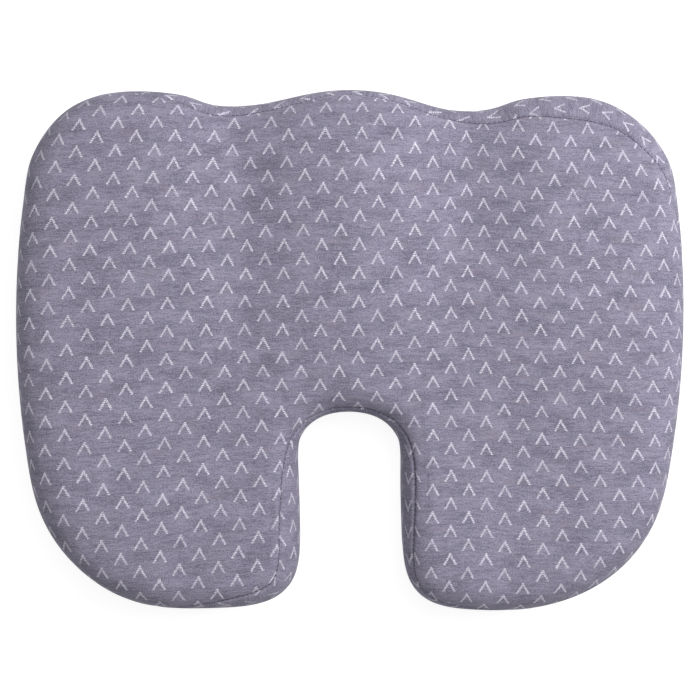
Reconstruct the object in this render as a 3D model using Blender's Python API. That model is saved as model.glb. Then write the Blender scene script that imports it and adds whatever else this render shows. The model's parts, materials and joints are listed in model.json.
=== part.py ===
"""Contoured seat cushion with a tailbone cut-out: foam core, inner liner and zipped fabric cover.

Frame: +Z up, origin at the middle of the resting face, +Y the front edge under the thighs.
Every soft piece is a layer of one design surface, at its own depth below that surface.
"""

import math

import bmesh
import bpy
import numpy as np
from mathutils import Matrix, Vector
from mathutils.geometry import delaunay_2d_cdt

# Overall size
SEAT_WIDTH = 0.450
SEAT_DEPTH = 0.351
SEAT_HEIGHT = 0.070

# Plan outline
VALLEY_X = 0.0755  # where each thigh channel meets the front edge
VALLEY_SETBACK = 0.0125
FRONT_CORNER_WIDTH = 0.079  # from the outer hump to the widest place of the side
HUMP_SETBACK = 0.002
SIDE_RADIUS = 0.620
SIDE_CENTRE_Y = 0.025
SIDE_FRONT_REACH = 0.095
SIDE_REAR_REACH = 0.115
REAR_CORNER_WIDTH = 0.123  # from the rearmost place of a lobe to the widest place of the side
CUTOUT_WIDTH = 0.069
CUTOUT_LENGTH = 0.133
CUTOUT_ARCH_RISE = 0.0255
CUTOUT_MOUTH_LENGTH = 0.0435

# Outline handles: how far each point holds its direction
NOSE_HOLD = 0.036
VALLEY_HOLD = 0.025
VALLEY_OUTER_HOLD = 0.037
HUMP_HOLD = 0.053
SIDE_FRONT_HOLD = 0.010
SIDE_REAR_HOLD = 0.060
LOBE_OUTER_HOLD = 0.052
LOBE_HOLD = 0.040
MOUTH_HOLD = 0.042
ARCH_SIDE_HOLD = 0.008
ARCH_HOLD = 0.027

# Side wall
BOTTOM_EDGE_INSET = 0.011
BOTTOM_CORNER_INSET = 0.006
BOTTOM_CORNER_HEIGHT = 0.0008
WALL_INSET = 0.003  # the wall below the bulge, which the zipper follows
BOTTOM_SEAM_HEIGHT = 0.004
BULGE_ROOM = 0.011  # height of wall that the bulge takes below the top seam
TOP_SEAM_INSET = 0.0035
TOP_SEAM_DROP = 0.012  # how far the seam lies below the top beside it
SHOULDER_INSET = 0.008
SHOULDER_DROP = 0.0045
TOP_EDGE_INSET = 0.016

# Hollows of the top: depth, and half width across and along
THIGH_DEPTH = 0.013
THIGH_SPREAD = 0.036
THIGH_BACK_Y = -0.060
THIGH_FRONT_Y = 0.130
BOWL_DEPTH = 0.012
BOWL_X = 0.085
BOWL_Y = -0.055
BOWL_SPREAD_X = 0.070
BOWL_SPREAD_Y = 0.075
TAIL_DEPTH = 0.005
TAIL_Y = -0.030
TAIL_SPREAD = 0.048
END_FALL = 0.0035
END_FALL_START = 0.080
TOP_SPACING = 0.027
TOP_EDGE_CLEARANCE = 0.016  # of the grid points from the ring round them

# Layers
GAP = 0.0003  # between pieces that touch
COVER_THICKNESS = 0.0024
STRIP_THICKNESS = 0.0015
TAPE_THICKNESS = 0.0006
LINER_THICKNESS = 0.0008
SLIDER_PLAY = 0.0005  # between the slider's back plate and the liner
THREAD_RADIUS = 0.0004
THREAD_SIDES = 4

# Zipper
TAPE_FOOT = 0.0027  # the lower tape's edge above the bottom seam
WINDOW_PLAY = 0.0009  # between the slider and the strips beside it
TAPE_WIDTH = 0.0105
TAPE_END_MARGIN = 0.0020
CHAIN_GAP = 0.0016
COIL_WIDTH = 0.0022
COIL_THICKNESS = 0.0026
COIL_CORNER = 0.00065
END_TAB_LENGTH = 0.009
END_TAB_THICKNESS = 0.0014
TOP_STOP_LENGTH = 0.0024
BOTTOM_STOP_LENGTH = 0.0040
ARC_STEP = 0.009

# Slider and pull
SLIDER_LENGTH = 0.0115
PLATE_THICKNESS = 0.0010
FLANGE_THICKNESS = 0.0010
NECK_LENGTH = 0.0040
CROWN_LENGTH = 0.0070
CROWN_WIDTH = 0.0022
CROWN_THICKNESS = 0.0009
CROWN_LEG = 0.0012
PULL_THICKNESS = 0.0012
PULL_BAR = 0.0012
PULL_SIDE = 0.0013
PULL_LENGTH = 0.026
PULL_TIP_WIDTH = 0.0070
PULL_TIP_CORNER = 0.00175
PULL_WINDOW_PLAY = 0.0004
PULL_HOLE_RADIUS = 0.0014
CORNER_STEPS = 4  # chords in a quarter turn

# Care label
LABEL_WIDTH = 0.040
LABEL_HEIGHT = 0.022
LABEL_THICKNESS = 0.0003
LABEL_BASE = 0.008

# Derived places
FRONT_Y = SEAT_DEPTH / 2
REAR_Y = -SEAT_DEPTH / 2
HUMP_X = SEAT_WIDTH / 2 - FRONT_CORNER_WIDTH
LOBE_X = SEAT_WIDTH / 2 - REAR_CORNER_WIDTH
CUTOUT_HALF = CUTOUT_WIDTH / 2
ARCH_Y = REAR_Y + CUTOUT_LENGTH
SIDE_CENTRE_X = SEAT_WIDTH / 2 - SIDE_RADIUS
WALL_RADIUS = SIDE_RADIUS - WALL_INSET
FRONT_ANGLE = math.asin(SIDE_FRONT_REACH / SIDE_RADIUS)
REAR_ANGLE = math.asin(SIDE_REAR_REACH / SIDE_RADIUS)
SIDE_LENGTH = WALL_RADIUS * (FRONT_ANGLE + REAR_ANGLE)
SLIDER_EDGE = CHAIN_GAP / 2 + COIL_WIDTH + GAP + FLANGE_THICKNESS
ZIP_HEIGHT = BOTTOM_SEAM_HEIGHT + TAPE_FOOT + TAPE_WIDTH + CHAIN_GAP / 2
ZIP_LOW = ZIP_HEIGHT - SLIDER_EDGE - WINDOW_PLAY
ZIP_HIGH = ZIP_HEIGHT + SLIDER_EDGE + WINDOW_PLAY
STRIP_TOP = ZIP_HEIGHT + CHAIN_GAP / 2 + TAPE_WIDTH + GAP
TAPE_DEPTH = STRIP_THICKNESS + GAP
COIL_DEPTH = TAPE_DEPTH - GAP - COIL_THICKNESS
BACK_PLATE_DEPTH = TAPE_DEPTH + TAPE_THICKNESS + GAP
LINER_DEPTH = COVER_THICKNESS + GAP
WALL_SLACK = BACK_PLATE_DEPTH + PLATE_THICKNESS + SLIDER_PLAY - LINER_DEPTH
FOAM_DEPTH = LINER_DEPTH + LINER_THICKNESS + GAP
CHAIN_REAR = SIDE_LENGTH - END_TAB_LENGTH - 2 * GAP - TOP_STOP_LENGTH - GAP
CHAIN_FRONT = END_TAB_LENGTH + 2 * GAP + BOTTOM_STOP_LENGTH + GAP
SLIDER_REST = CHAIN_REAR - SLIDER_LENGTH / 2
SLIDER_OPEN = CHAIN_FRONT + SLIDER_LENGTH / 2
SLIDER_TRAVEL_ANGLE = (SLIDER_REST - SLIDER_OPEN) / WALL_RADIUS
PLATE_FACE = COIL_DEPTH - GAP - PLATE_THICKNESS
BAR_CLEARANCE = math.hypot(PULL_THICKNESS, PULL_BAR) / 2 + GAP
PULL_AXIS_DEPTH = PLATE_FACE - BAR_CLEARANCE
SHARP_ANGLE = math.radians(40)
MOST_MITRE = 2.0  # how far a sharp corner may reach past its inset

# Stations along each stretch of half the outline, from the nose to the arch
STATION_COUNTS = {
    "nose": 5,
    "valley": 5,
    "front_corner": 8,
    "side": 11,
    "rear_corner": 8,
    "mouth": 7,
    "cutout_wall": 3,
    "arch": 6,
}

MATERIALS = {
    "heather_fabric": ((0.290, 0.272, 0.350), 0.90, 0.0),
    "anti_slip_fabric": ((0.060, 0.060, 0.070), 0.85, 0.0),
    "liner_jersey": ((0.780, 0.780, 0.760), 0.85, 0.0),
    "memory_foam": ((0.820, 0.790, 0.700), 0.95, 0.0),
    "sewing_thread": ((0.150, 0.140, 0.190), 0.75, 0.0),
    "zipper_tape": ((0.160, 0.150, 0.190), 0.85, 0.0),
    "zipper_nylon": ((0.140, 0.130, 0.165), 0.45, 0.0),
    "zipper_metal": ((0.420, 0.420, 0.440), 0.30, 1.0),
    "label_satin": ((0.850, 0.850, 0.840), 0.50, 0.0),
}


def clear_scene():
    """Remove whatever the open scene holds."""
    for old in list(bpy.data.objects):
        bpy.data.objects.remove(old, do_unlink=True)


def material(slot):
    """The slot's Principled material, made once."""
    if slot in bpy.data.materials:
        return bpy.data.materials[slot]
    colour, roughness, metallic = MATERIALS[slot]
    made = bpy.data.materials.new(slot)
    made.use_nodes = True
    shader = made.node_tree.nodes["Principled BSDF"]
    shader.inputs["Base Color"].default_value = (*colour, 1.0)
    shader.inputs["Roughness"].default_value = roughness
    shader.inputs["Metallic"].default_value = metallic
    return made


def add_object(name, slot, bm):
    """Turn a bmesh into a named object with its faces pointing out."""
    bmesh.ops.recalc_face_normals(bm, faces=bm.faces)
    mesh = bpy.data.meshes.new(name)
    bm.to_mesh(mesh)
    bm.free()
    mesh.shade_smooth()
    mesh.set_sharp_from_angle(angle=SHARP_ANGLE)
    mesh.materials.append(material(slot))
    made = bpy.data.objects.new(name, mesh)
    bpy.context.scene.collection.objects.link(made)
    return made


# ---------------------------------------------------------------- plan outline


def bezier(start, start_handle, end_handle, end, count):
    """Points along a cubic curve, without its last one."""
    points = []
    for index in range(count):
        t = index / count
        points.append(
            (1 - t) ** 3 * start
            + 3 * (1 - t) ** 2 * t * start_handle
            + 3 * (1 - t) * t**2 * end_handle
            + t**3 * end
        )
    return points


def side_point(angle):
    """A point of the right side's arc, at this angle in front of its widest place."""
    across = SIDE_CENTRE_X + SIDE_RADIUS * math.cos(angle)
    return Vector((across, SIDE_CENTRE_Y + SIDE_RADIUS * math.sin(angle)))


def side_direction(angle):
    """The way the side's arc runs towards the rear."""
    return Vector((math.sin(angle), -math.cos(angle)))


def half_outline():
    """The right half of the outline, from the nose clockwise to the arch of the cut-out."""
    along_x = Vector((1.0, 0.0))
    along_y = Vector((0.0, 1.0))
    nose = Vector((0.0, FRONT_Y))
    valley = Vector((VALLEY_X, FRONT_Y - VALLEY_SETBACK))
    hump = Vector((HUMP_X, FRONT_Y - HUMP_SETBACK))
    side_front = side_point(FRONT_ANGLE)
    side_rear = side_point(-REAR_ANGLE)
    lobe = Vector((LOBE_X, REAR_Y))
    wall_rear = Vector((CUTOUT_HALF, REAR_Y + CUTOUT_MOUTH_LENGTH))
    wall_front = Vector((CUTOUT_HALF, ARCH_Y - CUTOUT_ARCH_RISE))
    arch = Vector((0.0, ARCH_Y))
    front_in = side_front - side_direction(FRONT_ANGLE) * SIDE_FRONT_HOLD
    rear_out = side_rear + side_direction(-REAR_ANGLE) * SIDE_REAR_HOLD
    n = STATION_COUNTS
    points = bezier(nose, nose + along_x * NOSE_HOLD, valley - along_x * VALLEY_HOLD, valley, n["nose"])
    points += bezier(
        valley, valley + along_x * VALLEY_OUTER_HOLD, hump - along_x * HUMP_HOLD, hump, n["valley"]
    )
    points += bezier(hump, hump + along_x * HUMP_HOLD, front_in, side_front, n["front_corner"])
    for index in range(n["side"]):
        turn = (FRONT_ANGLE + REAR_ANGLE) * index / n["side"]
        points.append(side_point(FRONT_ANGLE - turn))
    points += bezier(side_rear, rear_out, lobe + along_x * LOBE_OUTER_HOLD, lobe, n["rear_corner"])
    points += bezier(
        lobe, lobe - along_x * LOBE_HOLD, wall_rear - along_y * MOUTH_HOLD, wall_rear, n["mouth"]
    )
    for index in range(n["cutout_wall"]):
        points.append(wall_rear.lerp(wall_front, index / n["cutout_wall"]))
    points += bezier(
        wall_front, wall_front + along_y * ARCH_SIDE_HOLD, arch + along_x * ARCH_HOLD, arch, n["arch"]
    )
    points.append(arch)
    return points


def full_outline():
    """The whole outline, counter-clockwise from the nose, and where the left side's arc runs in it."""
    right = half_outline()
    left = [Vector((-point.x, point.y)) for point in right]
    loop = left + right[-2:0:-1]
    first = STATION_COUNTS["nose"] + STATION_COUNTS["valley"] + STATION_COUNTS["front_corner"]
    return loop, first, first + STATION_COUNTS["side"]


def inset_ring(loop, inset):
    """The outline moved inwards by the same distance all round."""
    count = len(loop)
    ring = []
    for index, point in enumerate(loop):
        before = (point - loop[index - 1]).normalized()
        after = (loop[(index + 1) % count] - point).normalized()
        along = (before + after).normalized()
        inward = Vector((-along.y, along.x))
        ring.append(point + inward * inset * min(1 / along.dot(after), MOST_MITRE))
    return ring


# ---------------------------------------------------------------- design surface


def hill(offset, spread):
    return math.exp(-((offset / spread) ** 2))


def rise(value, low, high):
    """0 below low and 1 above high, with a smooth change between."""
    t = min(max((value - low) / (high - low), 0.0), 1.0)
    return t * t * (3 - 2 * t)


def top_height(x, y):
    """Height of the top: wings, pommel, thigh channels and the two seat bowls."""
    thigh = THIGH_DEPTH * hill(abs(x) - VALLEY_X, THIGH_SPREAD) * rise(y, THIGH_BACK_Y, THIGH_FRONT_Y)
    bowl = BOWL_DEPTH * hill(abs(x) - BOWL_X, BOWL_SPREAD_X) * hill(y - BOWL_Y, BOWL_SPREAD_Y)
    tail = TAIL_DEPTH * hill(x, TAIL_SPREAD) * hill(y - TAIL_Y, TAIL_SPREAD)
    ends = END_FALL * (rise(y, END_FALL_START, FRONT_Y) + rise(-y, END_FALL_START, -REAR_Y))
    return SEAT_HEIGHT - thigh - bowl - tail - ends


def inside(point, ring):
    """Whether a plan point lies inside a ring."""
    odd = False
    for index, a in enumerate(ring):
        b = ring[index - 1]
        if (a.y > point.y) != (b.y > point.y):
            if point.x < a.x + (b.x - a.x) * (point.y - a.y) / (b.y - a.y):
                odd = not odd
    return odd


def field_points(ring, spacing):
    """A triangular grid of plan points inside a ring, clear of its edge."""
    edge = np.array([tuple(point) for point in ring])
    rows = int(SEAT_DEPTH / spacing) + 1
    columns = int(SEAT_WIDTH / spacing) + 1
    points = []
    for row in range(-rows, rows + 1):
        y = row * spacing * math.sqrt(3) / 2
        shift = spacing / 2 if row % 2 else 0.0
        for column in range(-columns, columns + 1):
            point = Vector((column * spacing + shift, y))
            distance = np.min(np.hypot(edge[:, 0] - point.x, edge[:, 1] - point.y))
            if distance > TOP_EDGE_CLEARANCE and inside(point, ring):
                points.append(point)
    return points


def fill_ring(ring, field):
    """Triangles over a ring and the points inside it, as indices into ring + field."""
    count = len(ring)
    _, _, faces, sources, _, _ = delaunay_2d_cdt(ring + field, [], [list(range(count))], 1, 1e-7)
    return [tuple(sources[corner][0] for corner in face) for face in faces]


class DesignSurface:
    """The cover's outer face as rings of stations, a filled top and a filled bottom."""

    def __init__(self):
        self.loop, self.zip_first, self.zip_last = full_outline()
        self.count = len(self.loop)
        top_edge = inset_ring(self.loop, TOP_EDGE_INSET)
        crest = [top_height(point.x, point.y) for point in top_edge]
        seam = [height - TOP_SEAM_DROP for height in crest]
        strip_top = self.wall_heights(STRIP_TOP, seam)
        bulge = [(low + high) / 2 for low, high in zip(strip_top, seam)]
        shoulder = [height - SHOULDER_DROP for height in crest]
        self.rings = {}
        self.points = []
        self.slack = []
        self.add_ring("bottom_edge", BOTTOM_EDGE_INSET, 0.0, 0.0)
        self.add_ring("bottom_corner", BOTTOM_CORNER_INSET, BOTTOM_CORNER_HEIGHT, 0.5)
        self.add_ring("bottom_seam", WALL_INSET, BOTTOM_SEAM_HEIGHT, 1.0)
        self.add_ring("zip_low", WALL_INSET, self.wall_heights(ZIP_LOW, seam), 1.0)
        self.add_ring("zip_high", WALL_INSET, self.wall_heights(ZIP_HIGH, seam), 1.0)
        self.add_ring("strip_top", WALL_INSET, strip_top, 1.0)
        self.add_ring("bulge", 0.0, bulge, 1.0)
        self.add_ring("top_seam", TOP_SEAM_INSET, seam, 1.0)
        self.add_ring("shoulder", SHOULDER_INSET, shoulder, 0.5)
        self.add_ring("top_edge", TOP_EDGE_INSET, crest, 0.0)
        field = field_points(top_edge, TOP_SPACING)
        self.field_start = len(self.points)
        for point in field:
            self.points.append(Vector((point.x, point.y, top_height(point.x, point.y))))
            self.slack.append(0.0)
        self.top_faces = self.cap("top_edge", field)
        self.bottom_faces = [face[::-1] for face in self.cap("bottom_edge", [])]
        self.normals = self.vertex_normals()

    def add_ring(self, name, inset, heights, slack):
        self.rings[name] = len(self.points)
        if not isinstance(heights, list):
            heights = [heights] * self.count
        for point, height in zip(inset_ring(self.loop, inset), heights):
            self.points.append(Vector((point.x, point.y, height)))
            self.slack.append(slack)

    def wall_heights(self, height, seam):
        """A wall ring's height at each station, lowered where the seam dips and leaves less wall."""
        heights = []
        for seam_height in seam:
            room = seam_height - BULGE_ROOM - BOTTOM_SEAM_HEIGHT
            share = min(1.0, room / (STRIP_TOP - BOTTOM_SEAM_HEIGHT))
            heights.append(BOTTOM_SEAM_HEIGHT + (height - BOTTOM_SEAM_HEIGHT) * share)
        return heights

    def cap(self, name, field):
        """Faces over a ring, counter-clockwise seen from above."""
        start = self.rings[name]
        ring = [Vector(self.points[start + index][:2]) for index in range(self.count)]
        faces = []
        for face in fill_ring(ring, field):
            real = [start + i if i < self.count else self.field_start + i - self.count for i in face]
            faces.append(tuple(real))
        return faces

    def band(self, low, high, stations=None):
        """Triangle pairs between neighbouring rings, all round or at some stations.

        Each pair has the same diagonal in every layer, so that the layers stay parallel.
        """
        names = list(self.rings)
        faces = []
        for lower, upper in zip(names[names.index(low) : names.index(high)], names[names.index(low) + 1 :]):
            for index in range(self.count) if stations is None else stations:
                after = (index + 1) % self.count
                a, b = self.rings[lower], self.rings[upper]
                faces.append((a + index, a + after, b + after))
                faces.append((a + index, b + after, b + index))
        return faces

    def vertex_normals(self):
        """Outward directions shared by every layer, weighted by face area."""
        sums = [Vector((0.0, 0.0, 0.0)) for _ in self.points]
        for face in self.bottom_faces + self.band("bottom_edge", "top_edge") + self.top_faces:
            a, b, c = (self.points[index] for index in face)
            area = (b - a).cross(c - a)
            for index in face:
                sums[index] += area
        return [total.normalized() for total in sums]

    def at_depth(self, index, depth, slack_share):
        """A surface point moved inwards, with the wall's slack where the layer has it."""
        total = depth + WALL_SLACK * self.slack[index] * slack_share
        return self.points[index] - self.normals[index] * total


def edge_pullback(surface, faces):
    """For each point on a region's edge, the move that draws the edge back by half a gap."""
    uses = {}
    for face in faces:
        for a, b in zip(face, face[1:] + face[:1]):
            uses[(a, b)] = face
    moves = {}
    rim = [(a, b) for a, b in uses if (b, a) not in uses]
    for a, b in rim:
        along = (surface.points[b] - surface.points[a]).normalized()
        normal = (surface.normals[a] + surface.normals[b]).normalized()
        inward = normal.cross(along)
        for index in (a, b):
            moves.setdefault(index, []).append(inward)
    pulled = {}
    for index, sides in moves.items():
        total = sides[0] + sides[1]
        pulled[index] = total * (GAP / 2) / (1 + sides[0].dot(sides[1]))
    return rim, pulled


def layer(surface, name, slot, faces, outer, inner, slack_share=0.0):
    """A fabric layer over some faces: its outer and inner skins, joined round the edge."""
    rim, pulled = edge_pullback(surface, faces)
    bm = bmesh.new()
    skins = {}
    for depth in (outer, inner):
        skins[depth] = {}
        for index in sorted({corner for face in faces for corner in face}):
            place = surface.at_depth(index, depth, slack_share) + pulled.get(index, Vector((0.0, 0.0, 0.0)))
            skins[depth][index] = bm.verts.new(place)
    for face in faces:
        bm.faces.new([skins[outer][index] for index in face])
        bm.faces.new([skins[inner][index] for index in reversed(face)])
    for a, b in rim:
        bm.faces.new([skins[outer][b], skins[outer][a], skins[inner][a], skins[inner][b]])
    return add_object(name, slot, bm)


def closed_core(surface, name, slot, depth):
    """The whole design surface at one depth, as a filled body."""
    bm = bmesh.new()
    places = [bm.verts.new(surface.at_depth(index, depth, 1.0)) for index in range(len(surface.points))]
    for face in surface.bottom_faces + surface.band("bottom_edge", "top_edge") + surface.top_faces:
        bm.faces.new([places[index] for index in face])
    return add_object(name, slot, bm)


def seam_thread(surface, name, ring):
    """A closed line of thread that lies on the outside of a seam."""
    bm = bmesh.new()
    start = surface.rings[ring]
    loops = []
    for index in range(surface.count):
        normal = surface.normals[start + index]
        ahead = surface.points[start + (index + 1) % surface.count]
        behind = surface.points[start + index - 1 if index else start + surface.count - 1]
        along = (ahead - behind).normalized()
        across = along.cross(normal).normalized()
        centre = surface.points[start + index] + normal * (THREAD_RADIUS + GAP)
        loop = []
        for side in range(THREAD_SIDES):
            angle = 2 * math.pi * side / THREAD_SIDES
            spoke = normal * math.cos(angle) + across * math.sin(angle)
            loop.append(bm.verts.new(centre + spoke * THREAD_RADIUS))
        loops.append(loop)
    for index, loop in enumerate(loops):
        after = loops[(index + 1) % len(loops)]
        for side in range(THREAD_SIDES):
            next_side = (side + 1) % THREAD_SIDES
            bm.faces.new([loop[side], loop[next_side], after[next_side], after[side]])
    return add_object(name, "sewing_thread", bm)


# ---------------------------------------------------------------- zipper


def on_side(along, height, depth, mirror=-1.0):
    """A place on a side wall: along the arc from its front end, and inwards from the wall."""
    angle = FRONT_ANGLE - along / WALL_RADIUS
    radius = WALL_RADIUS - depth
    x = SIDE_CENTRE_X + radius * math.cos(angle)
    return Vector((mirror * x, SIDE_CENTRE_Y + radius * math.sin(angle), height))


def arc_sweep(name, slot, section, start, end, mirror=-1.0):
    """A bar along the side wall's arc, with a section given as height and depth."""
    steps = max(1, math.ceil((end - start) / ARC_STEP))
    bm = bmesh.new()
    loops = []
    for index in range(steps + 1):
        along = start + (end - start) * index / steps
        loops.append([bm.verts.new(on_side(along, height, depth, mirror)) for height, depth in section])
    for before, after in zip(loops, loops[1:]):
        for index in range(len(section)):
            following = (index + 1) % len(section)
            bm.faces.new([before[index], before[following], after[following], after[index]])
    bm.faces.new(loops[0])
    bm.faces.new(list(reversed(loops[-1])))
    return add_object(name, slot, bm)


def box_section(low, high, outer, inner):
    return [(low, outer), (high, outer), (high, inner), (low, inner)]


def coil_section(low, high):
    """One coil row's rounded envelope."""
    corner = COIL_CORNER
    outer = COIL_DEPTH
    inner = COIL_DEPTH + COIL_THICKNESS
    return [
        (low + corner, outer),
        (high - corner, outer),
        (high, outer + corner),
        (high, inner - corner),
        (high - corner, inner),
        (low + corner, inner),
        (low, inner - corner),
        (low, outer + corner),
    ]


def zipper_fixed_parts():
    """Tapes, coil rows, stops and end tabs along the left side."""
    near = CHAIN_GAP / 2
    rows = {
        "upper": (ZIP_HEIGHT + near, ZIP_HEIGHT + near + COIL_WIDTH, ZIP_HEIGHT + near + TAPE_WIDTH),
        "lower": (ZIP_HEIGHT - near - COIL_WIDTH, ZIP_HEIGHT - near, ZIP_HEIGHT - near - TAPE_WIDTH),
    }
    stop_start = CHAIN_REAR + GAP
    for row, (low, high, tape_end) in rows.items():
        tape_low = min(tape_end, low)
        tape_high = max(tape_end, high)
        tape = box_section(tape_low, tape_high, TAPE_DEPTH, TAPE_DEPTH + TAPE_THICKNESS)
        arc_sweep(f"zipper_tape_{row}", "zipper_tape", tape, TAPE_END_MARGIN, SIDE_LENGTH - TAPE_END_MARGIN)
        arc_sweep(f"zipper_coil_{row}", "zipper_nylon", coil_section(low, high), CHAIN_FRONT, CHAIN_REAR)
        stop = box_section(low, high, COIL_DEPTH, COIL_DEPTH + COIL_THICKNESS)
        arc_sweep(f"zipper_top_stop_{row}", "zipper_metal", stop, stop_start, stop_start + TOP_STOP_LENGTH)
    reach = near + COIL_WIDTH
    bottom = box_section(ZIP_HEIGHT - reach, ZIP_HEIGHT + reach, COIL_DEPTH, COIL_DEPTH + COIL_THICKNESS)
    stop_end = CHAIN_FRONT - GAP
    arc_sweep("zipper_bottom_stop", "zipper_metal", bottom, stop_end - BOTTOM_STOP_LENGTH, stop_end)
    tab = box_section(ZIP_LOW + GAP, ZIP_HIGH - GAP, TAPE_DEPTH - GAP - END_TAB_THICKNESS, TAPE_DEPTH - GAP)
    rear = SIDE_LENGTH - GAP
    arc_sweep("zipper_end_tab_front", "heather_fabric", tab, GAP, GAP + END_TAB_LENGTH)
    arc_sweep("zipper_end_tab_rear", "heather_fabric", tab, rear - END_TAB_LENGTH, rear)


def slider_frame(along):
    """The slider's own frame: x forward along the chain, y down, z out of the wall, origin on the wall."""
    origin = on_side(along, ZIP_HEIGHT, 0.0)
    ahead = on_side(along - ARC_STEP, ZIP_HEIGHT, 0.0)
    behind = on_side(along + ARC_STEP, ZIP_HEIGHT, 0.0)
    forward = (ahead - behind).normalized()
    down = Vector((0.0, 0.0, -1.0))
    out = forward.cross(down)
    return Matrix.Translation(origin) @ Matrix((forward, down, out)).transposed().to_4x4()


def prism(outline, axis, low, high):
    """An outline in the two other axes, extruded along the named one."""
    bm = bmesh.new()
    slot = "xyz".index(axis)
    corners = []
    for a, b in outline:
        place = [a, b]
        place.insert(slot, low)
        corners.append(bm.verts.new(place))
    face = bm.faces.new(corners)
    move = [0.0, 0.0, 0.0]
    move[slot] = high - low
    grown = bmesh.ops.extrude_face_region(bm, geom=[face])
    verts = [item for item in grown["geom"] if isinstance(item, bmesh.types.BMVert)]
    bmesh.ops.translate(bm, verts=verts, vec=move)
    return bm


def rectangle(low_a, high_a, low_b, high_b):
    return [(low_a, low_b), (high_a, low_b), (high_a, high_b), (low_a, high_b)]


def quarter_arc(centre_a, centre_b, radius, quarter):
    """Points of one quarter of a circle, both ends included, counter-clockwise."""
    points = []
    for step in range(CORNER_STEPS + 1):
        angle = (quarter + step / CORNER_STEPS) * math.pi / 2
        points.append((centre_a + radius * math.cos(angle), centre_b + radius * math.sin(angle)))
    return points


def circle(centre_a, centre_b, radius):
    points = []
    for quarter in range(4):
        points += quarter_arc(centre_a, centre_b, radius, quarter)[:-1]
    return points


def combine(body, other, operation):
    """Join or cut with a second solid, kept as a hidden helper."""
    other.hide_render = True
    other.display_type = "WIRE"
    change = body.modifiers.new(other.name, "BOOLEAN")
    change.operation = operation
    change.solver = "EXACT"
    change.object = other


def slider_channel_section():
    """The front plate with its two flanges folded over the coil rows: across and out."""
    edge = SLIDER_EDGE
    chain = edge - FLANGE_THICKNESS
    lip = -TAPE_DEPTH + GAP
    face = -PLATE_FACE
    under = face - PLATE_THICKNESS
    return [
        (-edge, lip),
        (-chain, lip),
        (-chain, under),
        (chain, under),
        (chain, lip),
        (edge, lip),
        (edge, face - PLATE_THICKNESS / 2),
        (edge - PLATE_THICKNESS / 2, face),
        (-edge + PLATE_THICKNESS / 2, face),
        (-edge, face - PLATE_THICKNESS / 2),
    ]


def crown_outline():
    """The bridge over the pull's bar: forward and out."""
    half = CROWN_LENGTH / 2
    foot = -PLATE_FACE - PLATE_THICKNESS / 2
    clear = -PLATE_FACE + 2 * BAR_CLEARANCE
    top = clear + CROWN_THICKNESS
    inner = half - CROWN_LEG
    chamfer = CROWN_THICKNESS / 2
    return [
        (-half, foot),
        (-inner, foot),
        (-inner, clear),
        (inner, clear),
        (inner, foot),
        (half, foot),
        (half, top - chamfer),
        (half - chamfer, top),
        (-half + chamfer, top),
        (-half, top - chamfer),
    ]


def make_slider(frame):
    """Front plate with flanges, back plate, the neck between them and the crown, as one casting."""
    half = SLIDER_LENGTH / 2
    back_face = -BACK_PLATE_DEPTH
    neck_half = CHAIN_GAP / 2 - GAP
    overlap = PLATE_THICKNESS / 2
    slider = add_object("zipper_slider", "zipper_metal", prism(slider_channel_section(), "x", -half, half))
    back_outline = rectangle(-half, half, -SLIDER_EDGE, SLIDER_EDGE)
    back = prism(back_outline, "z", back_face - PLATE_THICKNESS, back_face)
    neck_outline = rectangle(-half + overlap, -half + overlap + NECK_LENGTH, -neck_half, neck_half)
    neck = prism(neck_outline, "z", back_face - overlap, -PLATE_FACE - overlap)
    crown = prism(crown_outline(), "y", -CROWN_WIDTH / 2, CROWN_WIDTH / 2)
    helpers = {"slider_neck": neck, "slider_back_plate": back, "slider_crown": crown}
    for name, bm in helpers.items():
        combine(slider, add_object(name, "zipper_metal", bm), "UNION")
    for piece in [slider] + [bpy.data.objects[name] for name in helpers]:
        piece.matrix_world = frame
    return slider


def make_pull(frame):
    """The pull tab: a bar under the crown, an eye that clears it and a tapered grip with a hole."""
    crown_top = BAR_CLEARANCE + CROWN_THICKNESS
    eye_end = math.hypot(CROWN_LENGTH / 2, crown_top) + PULL_WINDOW_PLAY
    eye_half = CROWN_WIDTH / 2 + PULL_WINDOW_PLAY
    ring_half = eye_half + PULL_SIDE
    bar_half = PULL_BAR / 2
    tip_half = PULL_TIP_WIDTH / 2
    half_thick = PULL_THICKNESS / 2
    corner_a = PULL_LENGTH - PULL_TIP_CORNER
    corner_b = tip_half - PULL_TIP_CORNER
    outline = [(-bar_half, -ring_half), (eye_end + PULL_SIDE, -ring_half)]
    outline += quarter_arc(corner_a, -corner_b, PULL_TIP_CORNER, 3)
    outline += quarter_arc(corner_a, corner_b, PULL_TIP_CORNER, 0)
    outline += [(eye_end + PULL_SIDE, ring_half), (-bar_half, ring_half)]
    pull = add_object("zipper_pull", "zipper_metal", prism(outline, "z", -half_thick, half_thick))
    eye = prism(rectangle(bar_half, eye_end, -eye_half, eye_half), "z", -PULL_THICKNESS, PULL_THICKNESS)
    hole = prism(circle(PULL_LENGTH - tip_half, 0.0, PULL_HOLE_RADIUS), "z", -PULL_THICKNESS, PULL_THICKNESS)
    cutters = {"pull_eye_cutter": eye, "pull_hole_cutter": hole}
    for name, bm in cutters.items():
        combine(pull, add_object(name, "zipper_metal", bm), "DIFFERENCE")
    axis_frame = frame @ Matrix.Translation((0.0, 0.0, -PULL_AXIS_DEPTH))
    for piece in [pull] + [bpy.data.objects[name] for name in cutters]:
        piece.matrix_world = axis_frame
    return pull


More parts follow.
